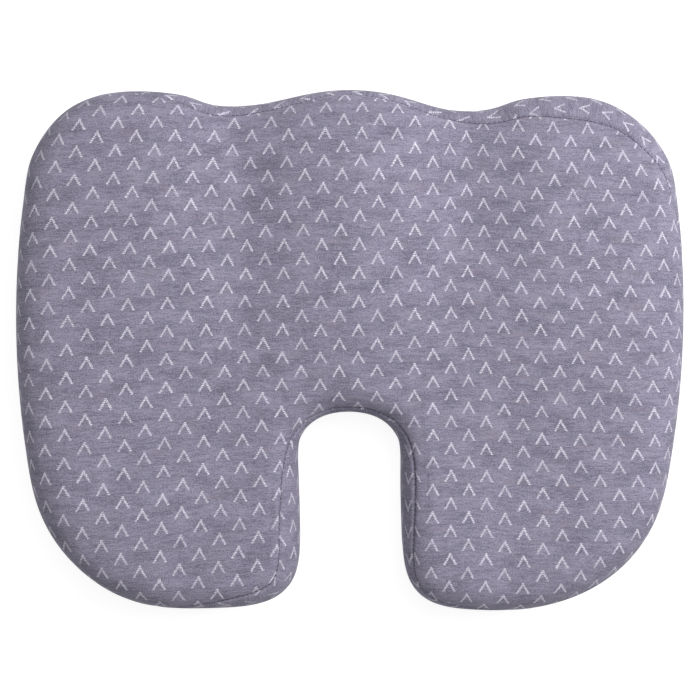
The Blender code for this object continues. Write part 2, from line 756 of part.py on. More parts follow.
def make_moving_parts():
    """Slider at the closed end, with its pull, under an empty on the arc's centre line."""
    travel = bpy.data.objects.new("slider_travel_axis", None)
    travel["open_angle"] = SLIDER_TRAVEL_ANGLE
    travel.location = (-SIDE_CENTRE_X, SIDE_CENTRE_Y, ZIP_HEIGHT)
    bpy.context.scene.collection.objects.link(travel)
    frame = slider_frame(SLIDER_REST)
    pieces = [make_slider(frame), make_pull(frame)]
    bpy.context.view_layer.update()
    for piece in pieces:
        piece.parent = travel
        piece.matrix_parent_inverse = travel.matrix_world.inverted()


# ---------------------------------------------------------------- cover


def make_cover(surface):
    """Top panel, side band, the two strips beside the zipper and the bottom panel."""
    zipped = range(surface.zip_first, surface.zip_last)
    plain = [index for index in range(surface.count) if index not in zipped]
    top = surface.band("top_seam", "top_edge") + surface.top_faces
    bottom = surface.bottom_faces + surface.band("bottom_edge", "bottom_seam")
    fabric = "heather_fabric"
    layer(surface, "cover_top_panel", fabric, top, 0.0, COVER_THICKNESS)
    layer(surface, "side_band", fabric, surface.band("bottom_seam", "top_seam", plain), 0.0, COVER_THICKNESS)
    lower = surface.band("bottom_seam", "zip_low", zipped)
    upper = surface.band("zip_high", "top_seam", zipped)
    layer(surface, "zip_strip_lower", fabric, lower, 0.0, STRIP_THICKNESS)
    layer(surface, "zip_strip_upper", fabric, upper, 0.0, STRIP_THICKNESS)
    layer(surface, "cover_bottom_panel", "anti_slip_fabric", bottom, 0.0, COVER_THICKNESS)
    seam_thread(surface, "top_seam_thread", "top_seam")
    seam_thread(surface, "bottom_seam_thread", "bottom_seam")


def make_filling(surface):
    """Foam core, and the stretch liner that is sewn round it in two halves."""
    inner = LINER_DEPTH + LINER_THICKNESS
    upper = surface.band("strip_top", "top_edge") + surface.top_faces
    lower = surface.bottom_faces + surface.band("bottom_edge", "strip_top")
    layer(surface, "liner_top", "liner_jersey", upper, LINER_DEPTH, inner, 1.0)
    layer(surface, "liner_bottom", "liner_jersey", lower, LINER_DEPTH, inner, 1.0)
    closed_core(surface, "foam_core", "memory_foam", FOAM_DEPTH)


def make_label():
    """A blank care label, sewn inside the right-hand wall."""
    depth = COVER_THICKNESS + GAP
    section = box_section(LABEL_BASE, LABEL_BASE + LABEL_HEIGHT, depth, depth + LABEL_THICKNESS)
    middle = SIDE_LENGTH / 2
    arc_sweep("care_label", "label_satin", section, middle - LABEL_WIDTH / 2, middle + LABEL_WIDTH / 2, 1.0)


def main():
    clear_scene()
    surface = DesignSurface()
    make_cover(surface)
    make_filling(surface)
    make_label()
    zipper_fixed_parts()
    make_moving_parts()


main()
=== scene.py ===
"""Looks of the contoured seat cushion: sewn cover, foam, liner and zipper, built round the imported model.

The fine surface starts from the CAD nodes: the bottom seam gives the plan outline, the top panel
gives the heights and the zipper joint gives the arc that the zipper follows.
"""

import json
import math

import bpy
import numpy as np
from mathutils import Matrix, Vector
from mathutils.geometry import delaunay_2d_cdt


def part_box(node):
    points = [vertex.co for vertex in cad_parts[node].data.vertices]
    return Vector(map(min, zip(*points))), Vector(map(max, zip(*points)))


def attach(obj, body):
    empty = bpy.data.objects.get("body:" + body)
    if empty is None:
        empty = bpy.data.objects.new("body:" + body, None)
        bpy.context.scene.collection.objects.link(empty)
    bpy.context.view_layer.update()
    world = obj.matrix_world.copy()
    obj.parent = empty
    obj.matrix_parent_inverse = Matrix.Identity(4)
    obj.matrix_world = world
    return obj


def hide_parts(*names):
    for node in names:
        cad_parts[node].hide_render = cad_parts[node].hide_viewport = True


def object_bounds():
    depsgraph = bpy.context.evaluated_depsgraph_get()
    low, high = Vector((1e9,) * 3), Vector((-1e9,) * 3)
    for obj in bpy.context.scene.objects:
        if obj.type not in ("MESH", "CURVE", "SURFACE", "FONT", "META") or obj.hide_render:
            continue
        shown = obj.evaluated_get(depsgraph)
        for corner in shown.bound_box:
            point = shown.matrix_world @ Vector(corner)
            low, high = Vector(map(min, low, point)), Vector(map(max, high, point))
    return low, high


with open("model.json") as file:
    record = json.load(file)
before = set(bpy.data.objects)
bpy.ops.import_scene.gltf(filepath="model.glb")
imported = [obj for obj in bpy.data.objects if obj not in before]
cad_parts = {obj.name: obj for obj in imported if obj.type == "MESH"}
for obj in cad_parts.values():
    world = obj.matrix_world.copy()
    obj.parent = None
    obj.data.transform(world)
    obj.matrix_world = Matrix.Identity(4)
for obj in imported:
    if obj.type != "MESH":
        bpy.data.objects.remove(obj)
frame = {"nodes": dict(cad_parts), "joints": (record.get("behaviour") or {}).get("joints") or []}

MM = 0.001
CAD_BOX = [list(corner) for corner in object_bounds()]
CAD_LOW, CAD_HIGH = (np.array(corner) for corner in CAD_BOX)
JOINTS = {joint["name"]: joint for joint in frame["joints"]}

# Mesh density
ZIP_COLUMNS = 76  # columns of points along the zipper window
FREE_COLUMNS = 564  # columns round the rest of the outline
FIELD_SPACING = 5.0 * MM
FOOT_SPACING = 11.0 * MM
PROFILE_STEPS = 48  # points of the section over the rounded edge
WALL_STEPS = 16  # and from the zipper strips up to it

# Cross-section of the cover
RIM_RADIUS = 20.0 * MM  # plan width of the rounded upper edge
FIELD_INSET = 22.0 * MM  # where the free top field starts
FIELD_ROOM = 7.0 * MM  # and how far inside the seam it keeps
FOOT_WIDTH = 8.0 * MM  # plan width of the rounded lower edge
DOT_HEIGHT = 0.5 * MM  # the anti-slip dots carry the underside this far off the floor
FOOT_TURNS = (90, 70, 50, 32, 18, 8, 3)  # degrees round the lower edge
SEAM_HEIGHT = 4.0 * MM  # of the bottom seam
WINDOW_LIP = 1.2 * MM
WINDOW_BLEND = 12.0 * MM  # where the zipper's straight wall runs out into the rounded one
TOP_CLEARANCE = 14.5 * MM  # CAD corners nearer to the outline belong to the rounded edge
SEAM_DROP = 12.0 * MM  # the widest line lies half way between the zipper strips and this far below the top
COVER_SKIN = 1.7 * MM
STRIP_SKIN = 1.4 * MM  # of the strips beside the zipper
LINER_DEPTH = 3.0 * MM
LINER_SKIN = 0.7 * MM
LINER_TOP_AREA = 0.175
LINER_BOTTOM_AREA = 0.170
FOAM_DEPTH = 4.0 * MM

# Seams
SEAM_BLUR = 6.0 * MM
GROOVE_DEPTH = 1.25 * MM
GROOVE_WIDTH = 1.2 * MM
STITCH_LENGTH = 2.6 * MM
STITCH_PITCH = 3.4 * MM
THREAD_RADIUS = 0.28 * MM
LIP = np.array([0.0, 0.7, 1.5, 2.6, 4.2]) * MM  # rows of points beside a seam
UPPER_ROWS = 8
RIM_ROWS = 8

# Zipper coils
COIL_PITCH = 1.45 * MM
COIL_WIRE = 0.36 * MM  # radius

# Anti-slip dots: each ring's share of the radius and of the way down
DOT_PITCH = 9.0 * MM
DOT_RADIUS = 1.6 * MM
DOT_SIDES = 10
DOT_RINGS = ((1.0, 0.0), (0.85, 0.55), (0.45, 0.92))

# Swelling of the padded cover
SWELL_ROOM = 0.4 * MM
SWELL_CAP = 1.6 * MM
SWELL_FRAMES = 20
CLOTH_MASS = 0.003  # kg per point
HELD_BELOW = 0.5 * MM  # cover points lower than this don't swell
RIPPLES = ((127, 0.4), (151, 1.9), (181, 4.1), (223, 2.6))  # waves round the seams, and their phases

# Where the top seam runs: a place on the outline, as shares of half the width and depth, and how far
# inside the outline the seam lies there (mm, seen from above). Below zero it lies under the widest
# line instead. The worn cover sits askew, so more of the band shows at the front right and in the slot.
SEAM_PATH = [
    ((0.995, 0.25), -1.0), ((0.99, 0.40), 1.5), ((0.98, 0.55), 4.4), ((0.98, 0.61), 5.9),
    ((0.97, 0.67), 8.3), ((0.94, 0.75), 11.7), ((0.90, 0.81), 14.9), ((0.80, 0.93), 17.8),
    ((0.755, 0.95), 19.0), ((0.675, 0.98), 19.4), ((0.605, 0.985), 18.0), ((0.535, 0.97), 15.2),
    ((0.483, 0.95), 13.6), ((0.413, 0.93), 11.3), ((0.361, 0.93), 10.0), ((0.29, 0.94), 7.5),
    ((0.205, 0.965), 6.2), ((0.09, 0.995), 5.2), ((0.00, 1.0), 4.6), ((-0.085, 0.995), 4.1),
    ((-0.13, 0.985), 6.0), ((-0.285, 0.94), 6.6), ((-0.355, 0.94), 8.1), ((-0.483, 0.965), 7.2),
    ((-0.60, 0.99), 4.0), ((-0.70, 0.99), 0.5), ((-0.78, 0.96), -3.0), ((-1.00, 0.10), -3.0),
    ((-0.90, -0.70), -3.0), ((-0.66, -0.97), -2.0), ((-0.49, -0.995), 2.3), ((-0.41, -0.99), 4.7),
    ((-0.323, -0.98), 8.6), ((-0.26, -0.96), 10.2), ((-0.20, -0.92), 10.6), ((-0.165, -0.85), 12.8),
    ((-0.155, -0.70), 12.6), ((-0.155, -0.50), 10.2), ((-0.155, -0.44), 8.2), ((-0.15, -0.38), 6.0),
    ((-0.145, -0.335), 3.6), ((-0.10, -0.27), 2.8), ((0.00, -0.24), 2.9), ((0.10, -0.26), 3.5),
    ((0.15, -0.36), 5.9), ((0.155, -0.45), 8.3), ((0.155, -0.52), 8.7), ((0.155, -0.615), 7.7),
    ((0.16, -0.78), 5.7), ((0.18, -0.905), 4.0), ((0.275, -0.975), 3.5), ((0.36, -0.99), 2.5),
    ((0.45, -1.0), 1.0), ((0.56, -0.99), -2.0), ((0.80, -0.85), -3.0),
]

# The sewn cover isn't quite true: a place (shares of half the box), how far the shift reaches, and the
# shift across and forwards (mm)
OUTLINE_SLACK = [
    ((0.0, -0.92), 45.0, (3.6, 0.0)),
    ((-0.66, -0.97), 26.0, (-0.6, -2.0)),
    ((-0.85, 0.92), 16.0, (-0.6, 0.8)),
    ((-0.31, 0.94), 20.0, (0.0, 2.2)),
    ((0.53, 0.97), 20.0, (0.0, -0.9)),
    ((0.85, 0.90), 32.0, (-1.1, -1.2)),
]

# Knit pattern: a half-drop repeat of chevrons, as the fabric measures unstretched
REPEAT_ACROSS = 25.3 * MM
REPEAT_ALONG = 18.1 * MM
CHEVRON_HEIGHT = 8.0 * MM
CHEVRON_ROWS = 7
CHEVRON_STEP = 0.67 * MM
CHEVRON_ARM = 1.5 * MM

# How the top panel is stretched over the foam: the fabric coordinate across and along it, as a start
# (m), shares of x and y, and changes with their products (per m and per square m). The tucks are
# where the fabric gives beside the right thigh channel: place, width and size. In front of the
# cut-out it sinks a little: place, reach and size.
STRETCH_ACROSS = (-0.0046, 1.010, -0.002, 0.122, 0.213, 0.011, 0.60, 0.44, -0.42)
STRETCH_ALONG = (0.0044, -0.026, 0.990, 0.093, 0.118, 0.028, 0.0, 0.0, 0.0)
SINK = ((4 * MM, 5 * MM), 42 * MM, 2.9 * MM)
TUCK_ACROSS = (80 * MM, 18 * MM, 1.3 * MM)
TUCK_ALONG = (105 * MM, 25 * MM, 1.9 * MM)
BAND_START = (0.0, 5.4 * MM)

FLOOR_HALF = 25.0
VIEW_ROLL = math.radians(0.45)
VIEW_HEIGHT = 1.1585
VIEW_SHIFT = (0.33 * MM, -0.3 * MM)
VIEW_LENS = 85.0


# ---------------------------------------------------------------- reading the frame


def node_points(name):
    """The different corner points of a CAD node, in the row frame."""
    mesh = frame["nodes"][name].data
    places = np.empty(len(mesh.vertices) * 3)
    mesh.vertices.foreach_get("co", places)
    return np.unique(places.reshape(-1, 3).round(7), axis=0)


def station_loop(name, reach=1.2 * MM):
    """Middle points of a closed seam thread, in order and counter-clockwise from above."""
    left = node_points(name)
    stations = []
    while len(left):
        near = np.linalg.norm(left - left[0], axis=1) < reach
        stations.append(left[near].mean(0))
        left = left[~near]
    stations = np.array(stations)
    order = [int(np.argmax(stations[:, 1]))]
    free = set(range(len(stations))) - set(order)
    while free:
        rest = list(free)
        gaps = np.linalg.norm(stations[rest] - stations[order[-1]], axis=1)
        order.append(rest[int(np.argmin(gaps))])
        free.remove(order[-1])
    loop = stations[order]
    x, y = loop[:, 0], loop[:, 1]
    turn = np.sum(x * np.roll(y, -1) - y * np.roll(x, -1))
    return loop if turn > 0 else loop[::-1]


class ClosedCurve:
    """A smooth closed plan curve through some points, read by the distance along it."""

    def __init__(self, points, fineness=80):
        count = len(points)
        after = np.roll(points, -1, 0)
        step = np.linalg.norm(after - points, axis=1)
        before_step = np.roll(step, 1)
        system = np.zeros((count, count))
        index = np.arange(count)
        system[index, index - 1] = before_step
        system[index, index] = 2 * (before_step + step)
        system[index, (index + 1) % count] = step
        slope = (after - points) / step[:, None]
        bend = np.linalg.solve(system, 6 * (slope - np.roll(slope, 1, 0)))
        bend_after = np.roll(bend, -1, 0)
        t = np.linspace(0, 1, fineness, endpoint=False)[None, :, None]
        h = step[:, None, None]
        curve = (
            points[:, None] * (1 - t)
            + after[:, None] * t
            + h**2 / 6 * (((1 - t) ** 3 - (1 - t)) * bend[:, None] + (t**3 - t) * bend_after[:, None])
        )
        self.fine = curve.reshape(-1, 2)
        closed = np.vstack([self.fine, self.fine[:1]])
        self.along = np.concatenate([[0.0], np.cumsum(np.linalg.norm(np.diff(closed, axis=0), axis=1))])
        self.length = self.along[-1]
        self.closed = closed

    def at(self, distance):
        distance = np.mod(distance, self.length)
        return np.stack([np.interp(distance, self.along, self.closed[:, axis]) for axis in (0, 1)], -1)

    def inward(self, distance, half_step=1.5 * MM):
        ahead = self.at(distance + half_step) - self.at(distance - half_step)
        ahead /= np.linalg.norm(ahead, axis=-1, keepdims=True)
        return np.stack([-ahead[..., 1], ahead[..., 0]], -1)

    def nearest(self, place):
        """Distance along the curve of its point nearest to a place."""
        return self.along[int(np.argmin(np.linalg.norm(self.fine - np.array(place), axis=1)))]


def thin_plate(places, heights):
    """A smooth height function that goes through every given point."""
    unit = 0.1
    sites = places / unit
    count = len(sites)

    def kernel(a, b):
        square = ((a[:, None] - b[None]) ** 2).sum(-1)
        return 0.5 * square * np.log(np.maximum(square, 1e-12))

    flat = np.hstack([np.ones((count, 1)), sites])
    system = np.zeros((count + 3, count + 3))
    system[:count, :count] = kernel(sites, sites)
    system[:count, count:] = flat
    system[count:, :count] = flat.T
    weights = np.linalg.solve(system, np.concatenate([heights, np.zeros(3)]))

    def height(x, y):
        asked = np.stack([np.ravel(x), np.ravel(y)], -1) / unit
        values = []
        for start in range(0, len(asked), 4000):
            part = asked[start : start + 4000]
            bent = kernel(part, sites) @ weights[:count]
            values.append(bent + weights[count] + part @ weights[count + 1 :])
        return np.concatenate(values).reshape(np.shape(x))

    return height


def smoothstep(value, low, high):
    t = np.clip((value - low) / (high - low), 0.0, 1.0)
    return t * t * (3 - 2 * t)


class Zipper:
    """The arc that the zipper follows, from its joint and from the strip below it."""

    def __init__(self):
        joint = JOINTS["slider_travel"]
        self.centre = np.array(joint["pos_m"][:2])
        self.height = joint["pos_m"][2]
        strip = node_points("zip_strip_lower")
        offset = strip[:, :2] - self.centre
        self.radius = np.hypot(offset[:, 0], offset[:, 1]).max()
        angles = np.arctan2(offset[:, 1], -offset[:, 0])
        self.front, self.rear = angles.max(), angles.min()
        self.length = self.radius * (self.front - self.rear)
        self.low = strip[:, 2].max()
        self.high = 2 * self.height - self.low
        self.strip_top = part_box("zipper_tape_upper")[1].z

    def outward(self, along):
        """Directions straight out of the wall."""
        angle = self.front - along / self.radius
        return np.stack([-np.cos(angle), np.sin(angle), 0 * angle], -1)

    def at(self, along, height, depth):
        """Points on the wall: along the arc from its front end, up, and inwards from the wall."""
        along, height, depth = np.broadcast_arrays(along, height, depth)
        angle = self.front - along / self.radius
        radius = self.radius - depth
        x = self.centre[0] - radius * np.cos(angle)
        return np.stack([x, self.centre[1] + radius * np.sin(angle), height], -1)

    def span(self, node):
        """Distance along the arc of a CAD node's two ends, and its lowest and highest place."""
        places = node_points(node)
        offset = places[:, :2] - self.centre
        along = (self.front - np.arctan2(offset[:, 1], -offset[:, 0])) * self.radius
        return along.min(), along.max(), places[:, 2].min(), places[:, 2].max()


zipper = Zipper()


# ---------------------------------------------------------------- the cover's surface


def read_outline():
    """The cushion's plan outline, at its widest line."""
    loop = station_loop("bottom_seam_thread")[:, :2]
    inner = ClosedCurve(loop)
    reach = CAD_HIGH[0] - inner.fine[:, 0].max()
    loop = loop - inner.inward(np.array([inner.nearest(place) for place in loop])) * reach
    shifts = np.zeros_like(loop)
    for place, spread, shift in OUTLINE_SLACK:
        square = ((loop - np.array(place) * CAD_HIGH[:2]) ** 2).sum(1)
        shifts += np.exp(-square / (2 * (spread * MM) ** 2))[:, None] * np.array(shift) * MM
    return ClosedCurve(loop + shifts)


def read_heights(outline):
    """The top's height, smooth between the corners of the CAD top panel that lie inside its rounded edge."""
    corners = node_points("cover_top_panel")
    mesh = frame["nodes"]["cover_top_panel"]
    chosen = []
    for corner in corners:
        hit, place, _, _ = mesh.ray_cast(Vector((corner[0], corner[1], 1.0)), Vector((0.0, 0.0, -1.0)))
        edge = np.linalg.norm(outline.fine - corner[:2], axis=1).min()
        if hit and abs(place.z - corner[2]) < 0.05 * MM and edge > TOP_CLEARANCE:
            chosen.append(corner)
    chosen = np.array(chosen)
    return thin_plate(chosen[:, :2], chosen[:, 2])


def round_outline(outline, stops, values, distances):
    """Values given at some places along the outline, smoothly filled in at other distances along it."""
    order = np.argsort(stops)
    along = np.array(stops)[order]
    along = np.concatenate([along - outline.length, along, along + outline.length])
    even = np.arange(0, outline.length, 1.0 * MM)
    level = np.interp(even, along, np.tile(np.array(values)[order], 3))
    blur = np.fft.rfftfreq(len(even), 1.0 * MM)
    level = np.fft.irfft(np.fft.rfft(level) * np.exp(-2 * (np.pi * blur * SEAM_BLUR) ** 2), len(even))
    return np.interp(distances, np.append(even, outline.length), np.append(level, level[0]))


def fill(ring, spacing, clearance):
    """A triangular grid of points inside a ring, and the triangles over the ring and the grid."""
    low, high = ring.min(0), ring.max(0)
    points = []
    row_height = spacing * math.sqrt(3) / 2
    ahead = np.roll(ring, -1, 0)
    for row in range(int((high[1] - low[1]) / row_height) + 1):
        y = low[1] + (row + 0.5) * row_height
        crossing = (ring[:, 1] > y) != (ahead[:, 1] > y)
        a, b = ring[crossing], ahead[crossing]
        cuts = np.sort(a[:, 0] + (b[:, 0] - a[:, 0]) * (y - a[:, 1]) / (b[:, 1] - a[:, 1]))
        for start, end in zip(cuts[::2], cuts[1::2]):
            shift = 0.5 * (row % 2)
            first = math.ceil(start / spacing - shift)
            for column in range(first, math.floor(end / spacing - shift) + 1):
                place = np.array([(column + shift) * spacing, y])
                if np.linalg.norm(ring - place, axis=1).min() > clearance:
                    points.append(place)
    points = np.array(points)
    places = [Vector(place) for place in np.vstack([ring, points])]
    count = len(ring)
    _, _, found, sources, _, _ = delaunay_2d_cdt(places, [], [list(range(count))], 1, 1e-7)
    faces = []
    for face in found:
        a, b, c = (sources[corner][0] for corner in face)
        turn = (places[b] - places[a]).cross(places[c] - places[a])
        faces.append((a, b, c) if turn > 0 else (a, c, b))
    return points, faces


class CoverSurface:
    """The cover's outer face: rows of points round the outline, a filled top and a filled foot."""

    def __init__(self):
        self.outline = read_outline()
        self.height = read_heights(self.outline)
        self.columns = ZIP_COLUMNS + FREE_COLUMNS
        self.place_columns()
        self.build_rows()
        self.build_fields()
        self.normals = self.vertex_normals(self.points)

    def place_columns(self):
        """Even columns round the outline, starting where the zipper window ends at the rear."""
        rim = zipper.centre[0] - CAD_LOW[0]
        ends = []
        for angle in (zipper.rear, zipper.front):
            ends.append(zipper.centre + rim * np.array([-math.cos(angle), math.sin(angle)]))
        rear, front = (self.outline.nearest(place) for place in ends)
        if front > rear:
            front -= self.outline.length
        window = rear - front
        free = np.linspace(0.0, self.outline.length - window, FREE_COLUMNS, endpoint=False)
        zipped = np.linspace(self.outline.length - window, self.outline.length, ZIP_COLUMNS, endpoint=False)
        self.along = np.concatenate([free, zipped])
        self.edge = self.outline.at(rear + self.along)
        self.inward = self.outline.inward(rear + self.along)
        self.outline_place = np.mod(rear + self.along, self.outline.length)
        self.stops = [self.outline.nearest(np.array(place) * CAD_HIGH[:2]) for place, _ in SEAM_PATH]
        inner = [max(FIELD_INSET, inset * MM + FIELD_ROOM) for _, inset in SEAM_PATH]
        self.field_inset = round_outline(self.outline, self.stops, inner, self.outline_place)
        before = smoothstep(self.along - (self.outline.length - window), -WINDOW_BLEND, 0.0)
        self.zipped = np.maximum(before, 1 - smoothstep(self.along, 0.0, WINDOW_BLEND))

    def plan(self, inset):
        return self.edge + self.inward * np.asarray(inset)[..., None]

    def wall_inset(self, z, widest):
        """How far inside the widest line the wall stands at some height."""
        share = np.clip((z - SEAM_HEIGHT) / (widest - SEAM_HEIGHT), 0, 1)
        free = self.wall_setback * (1 - np.sin(share * np.pi / 2))
        held = self.wall_setback * (1 - smoothstep(z, zipper.strip_top, widest))
        return free + (held - free) * self.zipped

    def add_row(self, inset, z, climb):
        """One more row round the outline. climb is how far above the bottom seam it lies, along the cover."""
        full = np.ones(self.columns)
        self.rows.append(np.column_stack([self.plan(full * inset), full * z]))
        self.climb.append(full * climb)

    def build_rows(self):
        self.wall_setback = CAD_HIGH[0] - (zipper.radius - zipper.centre[0])
        self.rows, self.climb, self.spare = [], [], {}
        self.add_foot_rows()
        self.bottom_seam = len(self.rows)
        crest = self.height(*self.plan(np.full(self.columns, RIM_RADIUS)).T)
        widest = (zipper.strip_top + crest - SEAM_DROP) / 2
        self.add_wall_rows(widest)
        self.add_upper_rows(*self.upper_section(widest))
        self.rows = np.array(self.rows)
        self.climb = np.array(self.climb)

    def add_foot_rows(self):
        """Two rows on the underside, then the rounded lower edge."""
        lowest = self.wall_setback + FOOT_WIDTH
        self.add_row(lowest + 9 * MM, DOT_HEIGHT, -21 * MM)
        self.add_row(lowest + 3 * MM, DOT_HEIGHT, -15 * MM)
        rise = SEAM_HEIGHT - DOT_HEIGHT
        for turn in FOOT_TURNS:
            angle = math.radians(turn)
            inset = self.wall_setback + FOOT_WIDTH * (1 - math.cos(angle))
            self.add_row(inset, DOT_HEIGHT + rise * (1 - math.sin(angle)), -FOOT_WIDTH * angle * 0.8)

    def add_wall_rows(self, widest):
        """The wall up to the top of the zipper tapes, with a row at each edge of the zipper window."""
        low, high = zipper.low, zipper.high
        heights = [SEAM_HEIGHT + step for step in LIP[:4]]
        heights += [9.4 * MM, low - WINDOW_LIP, low, 15.3 * MM, 18.0 * MM, 20.7 * MM]
        heights += [high, high + WINDOW_LIP, 26.6 * MM, zipper.strip_top]
        self.window_rows = [len(self.rows) + heights.index(edge) for edge in (low, high)]
        for z in heights:
            self.add_row(self.wall_inset(np.full(self.columns, z), widest), z, z - SEAM_HEIGHT)

    def upper_section(self, widest):
        """The section above the zipper tapes in every column: insets, heights and length so far."""
        wall_z = zipper.strip_top + (widest - zipper.strip_top) * np.linspace(0, 1, WALL_STEPS)[:, None]
        turn = np.linspace(0, math.pi / 2, PROFILE_STEPS)[1:, None] * np.ones(self.columns)
        rim = RIM_RADIUS * (1 - np.cos(turn))
        last = RIM_RADIUS + (self.field_inset - RIM_RADIUS) * np.linspace(0, 1, 8)[1:, None]
        rim_z, last_z = (self.height(*np.moveaxis(self.plan(inset), -1, 0)) for inset in (rim, last))
        insets = np.vstack([self.wall_inset(wall_z, widest), rim, last])
        levels = np.vstack([wall_z, widest + (rim_z - widest) * np.sin(turn), last_z])
        step = np.hypot(np.diff(insets, axis=0), np.diff(levels, axis=0))
        return insets, levels, np.vstack([np.zeros(self.columns), np.cumsum(step, axis=0)])

    def add_upper_rows(self, insets, levels, length):
        """Rows over the rounded edge to the top field, close together at the top seam."""
        edge = WALL_STEPS - 1
        over = slice(edge, edge + PROFILE_STEPS)
        seam = length[edge] + self.seam_rise(insets[over], length[over] - length[edge])
        end = length[-1]
        below = (seam - LIP[-1]) * np.linspace(0, 1, UPPER_ROWS + 1)[1:, None]
        above = (seam + LIP[-1]) + (end - seam - LIP[-1]) * np.linspace(0, 1, RIM_ROWS + 1)[1:, None]
        targets = np.vstack([below, seam - LIP[-2:0:-1, None], seam + LIP[:, None], above])
        base = zipper.strip_top - SEAM_HEIGHT
        self.seam_climb = base + seam
        self.top_seam = len(self.rows) + UPPER_ROWS + len(LIP) - 2
        for target in targets:
            inset, z = (
                np.array([np.interp(*pair, value) for *pair, value in zip(target, length.T, values.T)])
                for values in (insets, levels)
            )
            self.spare[len(self.rows)] = end - target
            self.add_row(inset, z, base + target)

    def seam_rise(self, insets, reaches):
        """How far above the widest line the top seam runs, measured over the rounded edge.

        insets and reaches hold how far inside the outline, and how far over the edge, the profile's
        points above the widest line lie in every column.
        """
        rises = []
        for stop, (_, inset) in zip(self.stops, SEAM_PATH):
            away = np.mod(self.outline_place - stop + self.outline.length / 2, self.outline.length)
            column = int(np.argmin(np.abs(away - self.outline.length / 2)))
            inset = inset * MM
            rises.append(np.interp(inset, insets[:, column], reaches[:, column]) if inset > 0 else inset)
        return round_outline(self.outline, self.stops, rises, self.outline_place)

    def build_fields(self):
        """Fill the top and the foot, and number every point."""
        rows, columns = self.rows.shape[:2]
        top, top_faces = fill(self.rows[-1, :, :2], FIELD_SPACING, 0.55 * FIELD_SPACING)
        foot, foot_faces = fill(self.rows[0, :, :2], FOOT_SPACING, 0.55 * FOOT_SPACING)
        top = np.column_stack([top, self.height(top[:, 0], top[:, 1])])
        foot = np.column_stack([foot, np.full(len(foot), DOT_HEIGHT)])
        self.points = np.vstack([self.rows.reshape(-1, 3), top, foot])

        def numbered(faces, ring, field):
            return [tuple(ring + i if i < columns else field + i - columns for i in face) for face in faces]

        self.top_faces = numbered(top_faces, (rows - 1) * columns, rows * columns)
        self.foot_faces = numbered([face[::-1] for face in foot_faces], 0, rows * columns + len(top))
        self.flat = np.array(self.points[:, :2])
        for row, spare in self.spare.items():
            self.flat[row * columns : (row + 1) * columns] = self.plan(self.field_inset - spare)
        self.wall = np.zeros((len(self.points), 2))
        self.wall[: rows * columns, 0] = -self.climb.ravel()
        self.wall[: rows * columns, 1] = np.tile(self.along, rows)

    def band(self, low, high, columns=None):
        """Faces between two rows, at some columns or all round."""
        count = self.columns
        faces = []
        for row in range(low, high):
            for column in range(count) if columns is None else columns:
                after = (column + 1) % count
                a, b = row * count, (row + 1) * count
                faces.append((a + column, a + after, b + after, b + column))
        return faces

    def all_faces(self):
        return self.foot_faces + self.band(0, len(self.rows) - 1) + self.top_faces

    def vertex_normals(self, points):
        sums = np.zeros_like(points)
        for size in (3, 4):
            faces = np.array([face for face in self.all_faces() if len(face) == size])
            corners = points[faces]
            if size == 3:
                area = np.cross(corners[:, 1] - corners[:, 0], corners[:, 2] - corners[:, 0])
            else:
                area = np.cross(corners[:, 2] - corners[:, 0], corners[:, 3] - corners[:, 1])
            for corner in range(size):
                np.add.at(sums, faces[:, corner], area)
        return sums / np.linalg.norm(sums, axis=1, keepdims=True)

    def for_points(self, values, elsewhere):
        """Row and column values, laid out for every point, and one value for the two fields."""
        laid = np.full(len(self.points), elsewhere, values.dtype)
        laid[: values.size] = values.ravel()
        return laid


def swell(points, faces, pinned):
    """Blow the cover up a little with Blender's cloth, and return where its points went."""
    mesh = bpy.data.meshes.new("swelling_cover")
    mesh.from_pydata(points.tolist(), [], faces)
    body = bpy.data.objects.new("swelling_cover", mesh)
    bpy.context.scene.collection.objects.link(body)
    group = body.vertex_groups.new(name="sewn")
    group.add([int(index) for index in np.flatnonzero(pinned)], 1.0, "REPLACE")
    cloth = body.modifiers.new("Cloth", "CLOTH")
    settings = cloth.settings
    settings.vertex_group_mass = "sewn"
    settings.quality = 5
    settings.mass = CLOTH_MASS
    settings.tension_stiffness = 5
    settings.compression_stiffness = 5
    settings.shear_stiffness = 2
    settings.bending_stiffness = 0.05
    settings.use_pressure = True
    settings.uniform_pressure_force = 4
    settings.effector_weights.gravity = 0
    cloth.collision_settings.use_collision = False
    for step in range(1, SWELL_FRAMES + 1):
        bpy.context.scene.frame_set(step)
    shown = body.evaluated_get(bpy.context.evaluated_depsgraph_get())
    places = np.empty(len(points) * 3)
    shown.data.vertices.foreach_get("co", places)
    bpy.data.objects.remove(body)
    bpy.data.meshes.remove(mesh)
    bpy.context.scene.frame_set(1)
    return places.reshape(-1, 3)


def grow_cover(surface):
    """The cover's points once it has swollen between its seams."""
    rows, columns = surface.rows.shape[:2]
    row = np.arange(rows)[:, None] * np.ones(columns)
    lower_wall = row <= surface.window_rows[1] + 2
    held = (row <= surface.bottom_seam) | (lower_wall & (surface.zipped > 0.99)) | (row == surface.top_seam)
    low = surface.points[:, 2] < HELD_BELOW
    pinned = surface.for_points(held, False) | low
    room = smoothstep(surface.climb, 4 * MM, 16 * MM) * (1 - surface.zipped * lower_wall)
    room = surface.for_points(room, 1.0) * ~low
    start = surface.points - surface.normals * (SWELL_ROOM * room)[:, None]
    moved = swell(start, surface.all_faces(), pinned)
    growth = np.maximum(((moved - start) * surface.normals).sum(1), 0.0)
    growth = growth * SWELL_CAP / np.sqrt(growth**2 + SWELL_CAP**2)
    return start + surface.normals * growth[:, None]


